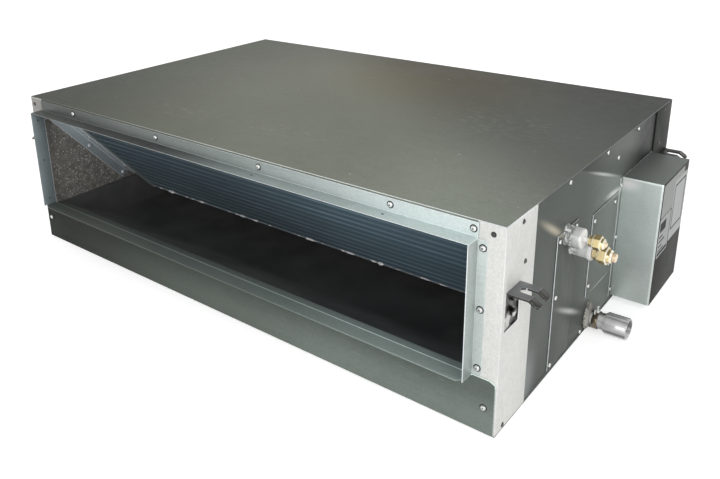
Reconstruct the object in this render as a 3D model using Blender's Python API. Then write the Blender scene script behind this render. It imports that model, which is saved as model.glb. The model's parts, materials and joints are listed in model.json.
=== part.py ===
"""Ducted air conditioner: an indoor unit for a ceiling void, with a collared air outlet, a slanted coil
over a drain pan, and a double-shaft motor that turns two blower wheels in volutes.

Lengths are in metres. +Z is up, +X is the pipe side and -Y is the air outlet. The origin is the middle of the
casing's underside.
"""

import math

import bmesh
import bpy
from mathutils import Matrix, Vector

# Casing and sheet metal
CASE_WIDTH = 0.980
CASE_DEPTH = 0.650
CASE_HEIGHT = 0.290
SHEET = 0.0012
POST_SHEET = 0.0015
CLEAR = 0.0003
TOP_LIP = 0.018
BASE_LIP = 0.012
POST_FRONT_LEG = 0.035
POST_SIDE_LEG = 0.085
SIDE_LINER = 0.0172
TOP_LINER = 0.010
SIDE_OVERLAP = 0.022

# Outlet and return collars
COLLAR_REACH = 0.0235
COLLAR_CORNER = 0.010
OUTLET_SILL = 0.081
OUTLET_DROP = 0.0215
FLANGE_TOP_GAP = 0.0025
TAB_WIDTH = 0.0125
TAB_CORNER = 0.003
FRONT_PANEL_INSET = 0.002
FRONT_PANEL_BOTTOM = 0.001
FRONT_PANEL_CHAMFER = (0.008, 0.004)
SILL_DROP = 0.035
SILL_SHELF = 0.013
RETURN_MARGIN_SIDE = 0.058
RETURN_MARGIN_TOP = 0.034
RETURN_MARGIN_BASE = 0.034

# Hanger brackets
HANGER_WIDTH = 0.038
HANGER_STEEL = 0.0025
HANGER_FROM_CORNER = 0.0285
HANGER_FROM_TOP = 0.0887
HANGER_REACH = 0.028
HANGER_TIP = (0.012, 0.0075)
HANGER_DROP = 0.065
HANGER_SLOT = 0.0125
HANGER_SLOT_START = 0.0145
HANGER_CORNER = 0.004
POST_WINDOW_DROP = 0.0545

# Coil
COIL_FOOT_Z = 0.044
COIL_ANGLE = math.radians(48)
COIL_THICKNESS = 0.062
COIL_HEAD_GAP = 0.0014
COIL_FRONT_SHARE = 0.3926
COIL_ROWS = 3
TUBE_PITCH = 0.0215
COIL_END_GAP = 0.0342
TUBE_RADIUS = 0.0048
BEND_STUB = 0.004
FIN_RIPPLE = 0.0015
END_PLATE_FLANGE = 0.010
END_PLATE_LAP = 0.001
BRACKET_WALL_LEG = 0.0177
BRACKET_WEB = 0.0265
BRACKET_LOW = 0.060
BRACKET_PAST_COIL = 0.0275

# Drain pan and spout
PAN_RIM = 0.073
PAN_FLOOR = 0.012
PAN_TO_DECK = 0.005
PAN_FRONT_RIM = 0.0095
PAN_SIDE_RIM = 0.0047
PAN_SIDE_RUN = 0.008
PAN_FRONT_RUN = 0.120
PAN_BACK_RIM = 0.010
PAN_BACK_RUN = 0.007
WELL_OVERSHOOT = 1.2
SPOUT_TO_DECK = 0.0333
SPOUT_Z = 0.019
SPOUT_NECK_RADIUS = 0.0132
SPOUT_MOUTH_RADIUS = 0.0175
SPOUT_WALL = 0.0022
SPOUT_NECK_REACH = 0.0255
SPOUT_REACH = 0.0625
GROMMET_REACH = 0.0085
GROMMET_HALF_WIDTH = 0.0185
GROMMET_UP = 0.026
GROMMET_DOWN = 0.0175
GROMMET_TAPER = 0.86
CLAMP_START = 0.0095
CLAMP_WIDTH = 0.009
CLAMP_BAND = 0.0010
CLAMP_HOUSING_RISE = 0.0049
CLAMP_SCREW_RADIUS = 0.0025
CLAMP_SCREW_RISE = 0.0056

# Refrigerant lines
LIQUID_PLANE = 0.0078
GAS_PLANE = 0.0163
LIQUID_TO_COIL = 0.0298
LIQUID_FROM_TOP = 0.0841
LIQUID_PIPE_RADIUS = 0.0032
LIQUID_SLEEVE_RADIUS = 0.0144
LIQUID_SLEEVE_REACH = 0.0222
LIQUID_UNION_REACH = 0.0297
LIQUID_UNION_LENGTH = 0.0055
LIQUID_UNION_RADIUS = 0.0078
LIQUID_THREAD_RADIUS = 0.0062
LIQUID_NUT_RADIUS = 0.0108
LIQUID_NUT_HEX = 0.0115
LIQUID_NUT_CONE = 0.0045
LIQUID_PLUG_REACH = 0.0027
LIQUID_BEND = 0.0096
GAS_TO_COIL = 0.0085
GAS_FROM_TOP = 0.110
GAS_PIPE_RADIUS = 0.0062
GAS_SLEEVE_RADIUS = 0.0108
GAS_SLEEVE_REACH = 0.0292
GAS_UNION_REACH = 0.0305
GAS_UNION_LENGTH = 0.0065
GAS_UNION_RADIUS = 0.0100
GAS_THREAD_RADIUS = 0.0092
GAS_NUT_RADIUS = 0.0134
GAS_NUT_HEX = 0.0130
GAS_NUT_CONE = 0.0065
GAS_PLUG_REACH = 0.0050
GAS_BEND = 0.0124
THREAD_LENGTH = 0.009
SOCKET_DEPTH = 0.004
NUT_WAIST_SHARE = 0.80
HEADER_RADIUS = 0.0055
CAPILLARY_RADIUS = 0.0016
CAPILLARY_BEND = 0.0032
CAPILLARY_SPACING = 0.00275
DISTRIBUTOR_RADIUS = 0.0050
DISTRIBUTOR_LENGTH = 0.020
DISTRIBUTOR_THROUGH = 0.0577
DISTRIBUTOR_FROM_HEAD = 0.0364

# Blowers
FAN_DEPTH_SHARE = 0.4754
FAN_HEIGHT_SHARE = 0.4414
FAN_SPACING_SHARE = 0.5204
WHEEL_SHARE = 0.2759
WHEEL_WIDTH = 0.206
WHEEL_INNER_SHARE = 0.825
WHEEL_RING = 0.0035
WHEEL_RING_WIDTH = 0.004
WHEEL_DISC = 0.0016
HUB_RADIUS = 0.015
HUB_LENGTH = 0.030
BLADE_COUNT = 26
BLADE_THICKNESS = 0.0012
BLADE_SWEEP = math.radians(15)
VOLUTE_WIDTH = 0.226
VOLUTE_WALL = 0.002
VOLUTE_TONGUE_ANGLE = math.radians(165)
VOLUTE_LAST_ANGLE = math.radians(450)
VOLUTE_START_SHARE = 1.10
VOLUTE_END_SHARE = 1.60
VOLUTE_LIP_SHARE = 0.375
INLET_SHARE = 0.825
DECK_SHARE = 0.5308
DECK_FLANGE = 0.014

# Motor
MOTOR_SHARE = 0.65
MOTOR_LENGTH = 0.100
MOTOR_NOSE_RADIUS = 0.020
MOTOR_NOSE = 0.014
MOTOR_SHOULDER_SHARE = 0.84
MOTOR_BARREL_SHARE = 0.80
SHAFT_RADIUS = 0.006
SHAFT_OVERHANG = 0.004
CRADLE_WIDTH = 0.060
CRADLE_FOOT = 0.026
CRADLE_OUTSET = 0.0042

# Covers on the pipe side
PIPE_COVER_AHEAD = 0.0317
PIPE_COVER_BEHIND = 0.0185
PIPE_COVER_LOW = 0.0055
PIPE_COVER_FROM_TOP = 0.075
ACCESS_TO_DECK = 0.053
ACCESS_TO_BOX = 0.0105
ACCESS_LOW = 0.0615
ACCESS_FROM_TOP = 0.092
WINDOW_MARGIN = 0.014
BOX_TO_BACK = 0.096
BOX_DEPTH = 0.141
BOX_LOW = 0.010
BOX_FROM_TOP = 0.071
BOX_REACH = 0.0615
BOX_FLANGE = 0.008
BOX_LIP = 0.014
CABLE_HOLE_RADIUS = 0.008
CABLE_HOLE_Z = 0.035
GROMMET_FLANGE = 0.0025
GROMMET_BORE = 0.005
GROMMET_THICK = 0.002
BOX_MARGIN = 0.020
TERMINAL_HEIGHT = 0.022
TERMINAL_THICK = 0.012
BARRIER_COUNT = 7
BARRIER_THICK = 0.002
BARRIER_RISE = 0.006
BOARD_GAP = 0.012
BOARD_THICK = 0.0045
TRANSFORMER_SIZE = (0.028, 0.030)
TRANSFORMER_RISE = 0.026
RELAY_SIZE = (0.020, 0.018)
RELAY_RISE = 0.016
BOARD_EDGE = 0.010
CAPACITOR_RADIUS = 0.0145
CAPACITOR_LENGTH = 0.070
CAPACITOR_GAP = 0.009

# Turning smoothness
PIPE_SIDES = 18
SMALL_PIPE_SIDES = 8
BEND_SIDES = 6
MOTOR_SIDES = 20
GROMMET_SIDES = 12
PUTTY_SIDES = 18
SCREW_SIDES = 10
INLET_SIDES = 32
BEND_STEPS = 3
WHEEL_SEGMENTS = 26
BLADE_STEPS = 2
CRADLE_STEPS = 16
VOLUTE_STEPS = 26
SMOOTH_ANGLE = math.radians(35)
WELD = 1e-6

# Places worked out from the sizes above
RIGHT = CASE_WIDTH / 2
FRONT = -CASE_DEPTH / 2
BACK = CASE_DEPTH / 2
TOP_FACE = CASE_HEIGHT - SHEET
UPRIGHT_TOP = TOP_FACE - CLEAR
UPRIGHT_LOW = SHEET + CLEAR
SIDE_OUT = RIGHT - POST_SHEET - CLEAR
SIDE_IN = SIDE_OUT - SHEET
LIP_OUT = SIDE_IN - CLEAR
LIP_IN = LIP_OUT - SHEET
LINER_OUT = LIP_IN - CLEAR
ROOM = LINER_OUT - SIDE_LINER - CLEAR
POST_IN = FRONT + POST_SHEET + CLEAR
OPENING = RIGHT - POST_FRONT_LEG + CLEAR
OVERLAY_IN = FRONT - CLEAR
OVERLAY_OUT = OVERLAY_IN - SHEET
COLLAR_EDGE = OVERLAY_OUT - COLLAR_REACH
OUTLET_HEAD = CASE_HEIGHT - OUTLET_DROP
COVER_OUT = SIDE_OUT + CLEAR + SHEET
ROOF = UPRIGHT_TOP - TOP_LINER - CLEAR
DECK_Y = FRONT + CASE_DEPTH * DECK_SHARE
COIL_TILT = math.pi / 2 - COIL_ANGLE
COIL_HEADROOM = ROOF - COIL_HEAD_GAP - COIL_FOOT_Z - COIL_THICKNESS * math.sin(COIL_TILT)
COIL_LENGTH = COIL_HEADROOM / math.cos(COIL_TILT)
COIL_TUBES = 2 * round(COIL_LENGTH / TUBE_PITCH / 2)
COIL_SPAN = COIL_LENGTH * math.sin(COIL_TILT) + COIL_THICKNESS * math.cos(COIL_TILT)
COIL_SPARE = DECK_Y - FRONT - COIL_SPAN
COIL_FOOT_Y = FRONT + COIL_SPARE * COIL_FRONT_SHARE + COIL_LENGTH * math.sin(COIL_TILT)
BRACKET_HIGH = COIL_LENGTH + BRACKET_PAST_COIL
COIL_END = ROOM - COIL_END_GAP
LIQUID_X = ROOM - LIQUID_PLANE
GAS_X = ROOM - GAS_PLANE
LIQUID_Y = COIL_FOOT_Y - LIQUID_TO_COIL
LIQUID_Z = CASE_HEIGHT - LIQUID_FROM_TOP
GAS_Y = COIL_FOOT_Y - GAS_TO_COIL
GAS_Z = CASE_HEIGHT - GAS_FROM_TOP
PAN_BACK = DECK_Y - PAN_TO_DECK
SPOUT_Y = DECK_Y - SPOUT_TO_DECK
HANGER_HEIGHT = CASE_HEIGHT - HANGER_FROM_TOP
PIPE_COVER_FRONT = LIQUID_Y - PIPE_COVER_AHEAD
PIPE_COVER_BACK = GAS_Y + PIPE_COVER_BEHIND
PIPE_COVER_HIGH = CASE_HEIGHT - PIPE_COVER_FROM_TOP
BOX_BACK = BACK - BOX_TO_BACK
BOX_FRONT = BOX_BACK - BOX_DEPTH
BOX_HIGH = CASE_HEIGHT - BOX_FROM_TOP
ACCESS_FRONT = DECK_Y - ACCESS_TO_DECK
ACCESS_BACK = BOX_FRONT - ACCESS_TO_BOX
ACCESS_HIGH = CASE_HEIGHT - ACCESS_FROM_TOP
FAN_Y = DECK_Y + (BACK - DECK_Y) * FAN_DEPTH_SHARE
FAN_Z = CASE_HEIGHT * FAN_HEIGHT_SHARE
WHEEL_RADIUS = CASE_HEIGHT * WHEEL_SHARE
WHEEL_INNER_RADIUS = WHEEL_RADIUS * WHEEL_INNER_SHARE
VOLUTE_START = WHEEL_RADIUS * VOLUTE_START_SHARE
VOLUTE_END = WHEEL_RADIUS * VOLUTE_END_SHARE
VOLUTE_LIP = WHEEL_RADIUS * VOLUTE_LIP_SHARE
INLET_RADIUS = WHEEL_RADIUS * INLET_SHARE
MOTOR_RADIUS = WHEEL_RADIUS * MOTOR_SHARE
FAN_SPACING = CASE_WIDTH * FAN_SPACING_SHARE
HALF_SHAFT = FAN_SPACING / 2 + HUB_LENGTH / 2 + SHAFT_OVERHANG


def clear_scene():
    """Remove what a new file holds."""
    for item in list(bpy.data.objects):
        bpy.data.objects.remove(item, do_unlink=True)


def finish(name, colour, roughness, metallic):
    """A plain Principled material."""
    material = bpy.data.materials.new(name)
    material.use_nodes = True
    shader = material.node_tree.nodes["Principled BSDF"]
    shader.inputs["Base Color"].default_value = (*colour, 1.0)
    shader.inputs["Roughness"].default_value = roughness
    shader.inputs["Metallic"].default_value = metallic
    material.diffuse_color = (*colour, 1.0)
    return material


def along_axis(axis, distance, first, second):
    """A point from its distance along one axis and its two other coordinates, in X, Y, Z order."""
    others = [first, second]
    return Vector([distance if name == axis else others.pop(0) for name in "XYZ"])


def prism(bm, outline, axis, low, high):
    """Extrude a closed outline along an axis."""
    base = [bm.verts.new(along_axis(axis, low, *point)) for point in outline]
    face = bm.faces.new(base)
    grown = bmesh.ops.extrude_face_region(bm, geom=[face])["geom"]
    moved = [item for item in grown if isinstance(item, bmesh.types.BMVert)]
    bmesh.ops.translate(bm, verts=moved, vec=along_axis(axis, high - low, 0, 0))
    return bm


def block(bm, low, high):
    """A box between two corners."""
    outline = [(low[0], low[1]), (high[0], low[1]), (high[0], high[1]), (low[0], high[1])]
    return prism(bm, outline, "Z", low[2], high[2])


def circle(centre, radius, segments):
    """The points of a round outline."""
    step = math.tau / segments
    return [
        (centre[0] + radius * math.cos(index * step), centre[1] + radius * math.sin(index * step))
        for index in range(segments)
    ]


def rod(bm, centre, axis, radius, low, high, segments):
    """A round bar, or a hexagon when it has six segments."""
    return prism(bm, circle(centre, radius, segments), axis, low, high)


def turned(bm, profile, segments):
    """Spin a profile of (distance along X, radius) points about the X axis."""
    fresh = bmesh.new()
    points = [fresh.verts.new((distance, 0, radius)) for distance, radius in profile]
    edges = []
    for start, end in zip(points, points[1:] + points[:1]):
        if start.co.z > 0 or end.co.z > 0:
            edges.append(fresh.edges.new((start, end)))
    bmesh.ops.spin(
        fresh,
        geom=points + edges,
        cent=(0, 0, 0),
        axis=(1, 0, 0),
        dvec=(0, 0, 0),
        angle=math.tau,
        steps=segments,
        use_merge=True,
        use_duplicate=False,
    )
    bmesh.ops.remove_doubles(fresh, verts=fresh.verts, dist=WELD)
    mesh = bpy.data.meshes.new("turned")
    fresh.to_mesh(mesh)
    fresh.free()
    bm.from_mesh(mesh)
    bpy.data.meshes.remove(mesh)
    return bm


def rounded_path(points, bend, steps):
    """Replace each inner corner of a path by an arc that starts and ends at the bend length from it."""
    points = [Vector(point) for point in points]
    path = [points[0]]
    for before, corner, after in zip(points, points[1:], points[2:]):
        enter = corner + (before - corner).normalized() * bend
        leave = corner + (after - corner).normalized() * bend
        for index in range(steps + 1):
            share = index / steps
            path.append(enter.lerp(corner, share).lerp(corner.lerp(leave, share), share))
    path.append(points[-1])
    return path


def swept(bm, path, radius, sides):
    """A round tube along a path, closed at both ends."""
    rings = []
    side = None
    for index, point in enumerate(path):
        before = path[max(index - 1, 0)]
        after = path[min(index + 1, len(path) - 1)]
        arrive = (point - before).normalized()
        depart = (after - point).normalized()
        along = (arrive + depart).normalized()
        if side is None:
            side = along.orthogonal().normalized()
        side = (side - along * side.dot(along)).normalized()
        across = along.cross(side)
        ring = []
        for turn in range(sides):
            angle = math.tau * turn / sides
            ring.append(bm.verts.new(point + (side * math.cos(angle) + across * math.sin(angle)) * radius))
        rings.append(ring)
    for first, second in zip(rings, rings[1:]):
        for turn in range(sides):
            follow = (turn + 1) % sides
            bm.faces.new((first[turn], first[follow], second[follow], second[turn]))
    bm.faces.new(rings[0])
    bm.faces.new(rings[-1])
    return bm


def folded(path, thickness):
    """The outline of a sheet whose outer face follows a path, with the sheet on the path's right side."""
    points = [Vector(point) for point in path]
    inner = []
    for index, point in enumerate(points):
        normals = []
        for start, end in ((index - 1, index), (index, index + 1)):
            if start >= 0 and end < len(points):
                run = (points[end] - points[start]).normalized()
                normals.append(Vector((run.y, -run.x)))
        mitre = sum(normals, Vector((0, 0))).normalized()
        inner.append(point + mitre * thickness / mitre.dot(normals[0]))
    return [tuple(point) for point in points + inner[::-1]]


def make(name, bm, material, smooth=False):
    """Turn a bmesh into an object of the scene."""
    bmesh.ops.recalc_face_normals(bm, faces=bm.faces)
    mesh = bpy.data.meshes.new(name)
    bm.to_mesh(mesh)
    bm.free()
    mesh.materials.append(material)
    if smooth:
        mesh.shade_smooth()
        mesh.set_sharp_from_angle(angle=SMOOTH_ANGLE)
    item = bpy.data.objects.new(name, mesh)
    bpy.context.scene.collection.objects.link(item)
    return item


def combine(target, bm, operation):
    """Cut a shape from an object, or join it on, with a hidden helper object."""
    bmesh.ops.recalc_face_normals(bm, faces=bm.faces)
    mesh = bpy.data.meshes.new(target.name + "_helper")
    bm.to_mesh(mesh)
    bm.free()
    helper = bpy.data.objects.new(mesh.name, mesh)
    bpy.context.scene.collection.objects.link(helper)
    helper.hide_render = True
    helper.display_type = "WIRE"
    helper.parent = target
    modifier = target.modifiers.new(operation.lower(), "BOOLEAN")
    modifier.operation = operation
    modifier.solver = "EXACT"
    modifier.object = helper
    return target


def cut(target, bm):
    """Take a shape away from an object."""
    return combine(target, bm, "DIFFERENCE")


def join(target, bm):
    """Add a shape to an object."""
    return combine(target, bm, "UNION")


def settle(item):
    """Replace an object's modifiers by the mesh that they make, so that copies can share it."""
    bpy.context.view_layer.update()
    view = bpy.context.evaluated_depsgraph_get()
    mesh = bpy.data.meshes.new_from_object(item.evaluated_get(view))
    item.modifiers.clear()
    item.data = mesh
    for helper in list(item.children):
        bpy.data.objects.remove(helper, do_unlink=True)
    return item


def copy_of(item, name):
    """Another object with the same mesh and parent."""
    twin = bpy.data.objects.new(name, item.data)
    bpy.context.scene.collection.objects.link(twin)
    twin.parent = item.parent
    return twin


def sheet_between(name, low, high, material):
    """A flat sheet or block as an object."""
    return make(name, block(bmesh.new(), low, high), material)


def top_panel(steel):
    """The lid: a flat sheet with a turned-down lip along each edge, left out at the posts."""
    shape = bmesh.new()
    block(shape, (-RIGHT, FRONT, TOP_FACE), (RIGHT, BACK, CASE_HEIGHT))
    panel = make("top_panel", shape, steel)
    lips = bmesh.new()
    low = CASE_HEIGHT - TOP_LIP
    inside = TOP_FACE + SHEET / 2
    lip_half = OPENING - 2 * CLEAR
    for facing in (-1, 1):
        outer, inner = facing * BACK, facing * (BACK - SHEET)
        block(lips, (-lip_half, min(outer, inner), low), (lip_half, max(outer, inner), inside))
    join(panel, lips)
    flanks = bmesh.new()
    lip_end = -(POST_IN + POST_SIDE_LEG)
    for facing in (-1, 1):
        outer, inner = facing * LIP_OUT, facing * LIP_IN
        block(flanks, (min(outer, inner), -lip_end, low), (max(outer, inner), lip_end, inside))
    return join(panel, flanks)


def bottom_panel(steel):
    """The base: a flat sheet with turned-up lips at its sides, notched where the drain spout leaves."""
    shape = bmesh.new()
    block(shape, (-RIGHT, FRONT, 0), (RIGHT, BACK, SHEET))
    panel = make("bottom_panel", shape, steel)
    lips = bmesh.new()
    lip_end = -(POST_IN + POST_SIDE_LEG)
    for facing in (-1, 1):
        outer, inner = facing * LIP_OUT, facing * LIP_IN
        block(lips, (min(outer, inner), -lip_end, SHEET / 2), (max(outer, inner), lip_end, SHEET + BASE_LIP))
    join(panel, lips)
    notch = bmesh.new()
    reach = SPOUT_NECK_RADIUS + 3 * CLEAR
    top = 2 * (SHEET + BASE_LIP)
    block(notch, (ROOM, SPOUT_Y - reach, SHEET + CLEAR), (RIGHT, SPOUT_Y + reach, top))
    return cut(panel, notch)


def corner_post(name, across, along, paint):
    """An L-section post that wraps a corner, with a window where its hanger bracket comes out."""
    legs = [
        (RIGHT - POST_FRONT_LEG, BACK),
        (RIGHT, BACK),
        (RIGHT, BACK - POST_SIDE_LEG),
    ]
    outline = [(across * x, along * y) for x, y in folded(legs, POST_SHEET)]
    post = make(name, prism(bmesh.new(), outline, "Z", UPRIGHT_LOW, UPRIGHT_TOP), paint)
    centre = along * (BACK - HANGER_FROM_CORNER)
    half = HANGER_WIDTH / 2 + CLEAR
    window = bmesh.new()
    edges = sorted((across * (RIGHT + SHEET), across * (RIGHT - 2 * POST_SHEET)))
    low = (edges[0], centre - half, HANGER_HEIGHT - POST_WINDOW_DROP)
    block(window, low, (edges[1], centre + half, HANGER_HEIGHT + CLEAR))
    return cut(post, window)


def side_sheet(name, across, steel):
    """A side panel between the posts, tucked behind their side legs."""
    edges = sorted((across * SIDE_IN, across * SIDE_OUT))
    half = BACK - POST_SIDE_LEG + SIDE_OVERLAP
    low = (edges[0], -half, UPRIGHT_LOW)
    return sheet_between(name, low, (edges[1], half, UPRIGHT_TOP), steel)


def sleeve_holes(bm, low, high):
    """The two round ways for the insulated pipes."""
    rod(bm, (LIQUID_Y, LIQUID_Z), "X", LIQUID_SLEEVE_RADIUS + CLEAR, low, high, PIPE_SIDES)
    rod(bm, (GAS_Y, GAS_Z), "X", GAS_SLEEVE_RADIUS + CLEAR, low, high, PIPE_SIDES)
    return bm


def side_panel_right(steel):
    """The pipe side's panel: holes for pipes and drain, and service windows behind the covers."""
    panel = side_sheet("side_panel_right", 1, steel)
    ways = bmesh.new()
    low, high = LIP_IN, RIGHT
    sleeve_holes(ways, low, high)
    rod(ways, (SPOUT_Y, SPOUT_Z), "X", SPOUT_NECK_RADIUS + CLEAR, low, high, PIPE_SIDES)
    top = GAS_Z - GAS_SLEEVE_RADIUS - WINDOW_MARGIN
    foot = (low, PIPE_COVER_FRONT + WINDOW_MARGIN, PIPE_COVER_LOW + 2 * WINDOW_MARGIN)
    block(ways, foot, (high, PIPE_COVER_BACK - WINDOW_MARGIN, top))
    foot = (low, ACCESS_FRONT + WINDOW_MARGIN, ACCESS_LOW + WINDOW_MARGIN)
    block(ways, foot, (high, ACCESS_BACK - WINDOW_MARGIN, ACCESS_HIGH - WINDOW_MARGIN))
    return cut(panel, ways)


def side_liner(name, across, foam):
    """Foam that lines a side, pocketed for the hanger plates and bored for pipes and drain."""
    edges = sorted((across * (ROOM + CLEAR), across * LINER_OUT))
    end = -POST_IN
    liner = make(name, block(bmesh.new(), (edges[0], -end, UPRIGHT_LOW), (edges[1], end, UPRIGHT_TOP)), foam)
    pockets = bmesh.new()
    floor = SIDE_OUT - HANGER_STEEL - CLEAR
    for facing in (-1, 1):
        centre = facing * (BACK - HANGER_FROM_CORNER)
        half = HANGER_WIDTH / 2 + CLEAR
        depth = sorted((across * (floor - SHEET), across * RIGHT))
        low = (depth[0], centre - half, HANGER_HEIGHT - HANGER_DROP - CLEAR)
        block(pockets, low, (depth[1], centre + half, HANGER_HEIGHT + CLEAR))
    cut(liner, pockets)
    if across > 0:
        ways = sleeve_holes(bmesh.new(), ROOM - SHEET, RIGHT)
        radius = SPOUT_NECK_RADIUS + CLEAR
        rod(ways, (SPOUT_Y, SPOUT_Z), "X", radius, ROOM - SHEET, RIGHT, PIPE_SIDES)
        cut(liner, ways)
    return liner


def front_lower_panel(steel):
    """The panel under the outlet, its corners chamfered and its top edge folded forward as a collar floor."""
    half = RIGHT - FRONT_PANEL_INSET
    run, drop = FRONT_PANEL_CHAMFER
    outline = [
        (-half, FRONT_PANEL_BOTTOM),
        (half, FRONT_PANEL_BOTTOM),
        (half, OUTLET_SILL - drop),
        (half - run, OUTLET_SILL),
        (-half + run, OUTLET_SILL),
        (-half, OUTLET_SILL - drop),
    ]
    panel = make("front_lower_panel", prism(bmesh.new(), outline, "Y", OVERLAY_OUT, OVERLAY_IN), steel)
    rear = OVERLAY_IN - SHEET / 2
    outline = [
        (-OPENING, rear),
        (-OPENING, COLLAR_EDGE + COLLAR_CORNER),
        (-OPENING + COLLAR_CORNER, COLLAR_EDGE),
        (OPENING - COLLAR_CORNER, COLLAR_EDGE),
        (OPENING, COLLAR_EDGE + COLLAR_CORNER),
        (OPENING, rear),
    ]
    return join(panel, prism(bmesh.new(), outline, "Z", OUTLET_SILL - SHEET, OUTLET_SILL))


def front_sill(steel):
    """An angle behind the lower panel whose shelf closes the gap over the pan's front rim."""
    top = OUTLET_SILL - SHEET - CLEAR
    path = [(FRONT, top - SILL_DROP), (FRONT, top), (FRONT + SILL_SHELF, top)]
    outline = folded(path, SHEET)
    half = OPENING - 2 * CLEAR
    return make("front_sill", prism(bmesh.new(), outline, "X", -half, half), steel)


def outlet_flange_top(steel):
    """The collar's upper angle: one leg on the front of the lid's lip, one leg forward."""
    path = [
        (COLLAR_EDGE, OUTLET_HEAD),
        (OVERLAY_OUT, OUTLET_HEAD),
        (OVERLAY_OUT, CASE_HEIGHT - FLANGE_TOP_GAP),
    ]
    angle = prism(bmesh.new(), folded(path, SHEET), "X", -OPENING, OPENING)
    return make("outlet_flange_top", angle, steel)


def outlet_flange_side(name, across, steel):
    """One of the collar's upright angles: a round-cornered tab on the post and a leg forward."""
    low = OUTLET_SILL + CLEAR
    high = OUTLET_HEAD - SHEET - CLEAR
    edges = sorted((across * (OPENING - SHEET), across * OPENING))
    leg = block(bmesh.new(), (edges[0], COLLAR_EDGE, low), (edges[1], OVERLAY_IN, high))
    flange = make(name, leg, steel)
    tab_end = OPENING + TAB_WIDTH
    outline = [
        (OPENING - SHEET / 2, low + CLEAR),
        (tab_end - TAB_CORNER, low + CLEAR),
        (tab_end, low + CLEAR + TAB_CORNER),
        (tab_end, high - CLEAR - TAB_CORNER),
        (tab_end - TAB_CORNER, high - CLEAR),
        (OPENING - SHEET / 2, high - CLEAR),
    ]
    outline = [(across * x, z) for x, z in outline]
    return join(flange, prism(bmesh.new(), outline, "Y", OVERLAY_OUT, OVERLAY_IN))


def return_air_frame(steel):
    """The rear plate: a wide return opening with a collar turned out around it."""
    half = RIGHT - FRONT_PANEL_INSET
    seat = BACK + CLEAR
    face = seat + SHEET
    low = (-half, seat, FRONT_PANEL_BOTTOM)
    frame = sheet_between("return_air_frame", low, (half, face, CASE_HEIGHT - FLANGE_TOP_GAP), steel)
    wide = RIGHT - RETURN_MARGIN_SIDE
    base, head = RETURN_MARGIN_BASE, CASE_HEIGHT - RETURN_MARGIN_TOP
    edge = face + COLLAR_REACH
    collar = bmesh.new()
    block(collar, (-wide - SHEET, seat + SHEET / 2, base - SHEET), (wide + SHEET, edge, head + SHEET))
    join(frame, collar)
    way = block(bmesh.new(), (-wide, BACK - SHEET, base), (wide, edge + SHEET, head))
    return cut(frame, way)


def hanger_brackets(zinc):
    """Four equal brackets: a plate bolted behind the post, and a fork with bent-down tips for a rod."""
    reach, drop = HANGER_TIP
    inside = SIDE_OUT - HANGER_STEEL - RIGHT
    path = [(inside, -HANGER_DROP), (inside, 0), (HANGER_REACH, 0), (HANGER_REACH + reach, -drop)]
    half = HANGER_WIDTH / 2
    shape = prism(bmesh.new(), folded(path, HANGER_STEEL), "Y", -half, half)
    first = make("hanger_bracket_front_right", shape, zinc)
    slot = bmesh.new()
    thick = HANGER_DROP / 2
    radius = HANGER_SLOT / 2
    rod(slot, (HANGER_SLOT_START, 0), "Z", radius, -thick, thick, PIPE_SIDES)
    cut(first, slot)
    far = HANGER_REACH + 2 * reach
    cut(first, block(bmesh.new(), (HANGER_SLOT_START, -radius, -thick), (far, radius, thick)))
    tip = HANGER_REACH + reach
    corners = bmesh.new()
    for facing in (-1, 1):
        outline = [
            (tip - HANGER_CORNER, facing * (half + CLEAR)),
            (tip + CLEAR, facing * (half - HANGER_CORNER)),
            (tip + CLEAR, facing * (half + CLEAR)),
        ]
        prism(corners, outline, "Z", -thick, thick)
    cut(first, corners)
    settle(first)
    y = BACK - HANGER_FROM_CORNER
    first.location = (RIGHT, -y, HANGER_HEIGHT)
    places = {
        "hanger_bracket_rear_right": (RIGHT, y, 0.0),
        "hanger_bracket_front_left": (-RIGHT, -y, math.pi),
        "hanger_bracket_rear_left": (-RIGHT, y, math.pi),
    }
    for name, (x, where, turn) in places.items():
        other = copy_of(first, name)
        other.location = (x, where, HANGER_HEIGHT)
        other.rotation_euler.z = turn


def pipe_cover_panel(steel):
    """The screwed cover round the pipes, open at its top edge where the upper sleeve crosses it."""
    low = (SIDE_OUT + CLEAR, PIPE_COVER_FRONT, PIPE_COVER_LOW)
    cover = sheet_between("pipe_cover_panel", low, (COVER_OUT, PIPE_COVER_BACK, PIPE_COVER_HIGH), steel)
    return cut(cover, sleeve_holes(bmesh.new(), SIDE_IN, RIGHT + SHEET))


def access_panel(steel):
    """The screwed cover over the fan chamber's service window."""
    low = (SIDE_OUT + CLEAR, ACCESS_FRONT, ACCESS_LOW)
    return sheet_between("access_panel", low, (COVER_OUT, ACCESS_BACK, ACCESS_HIGH), steel)


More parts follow.
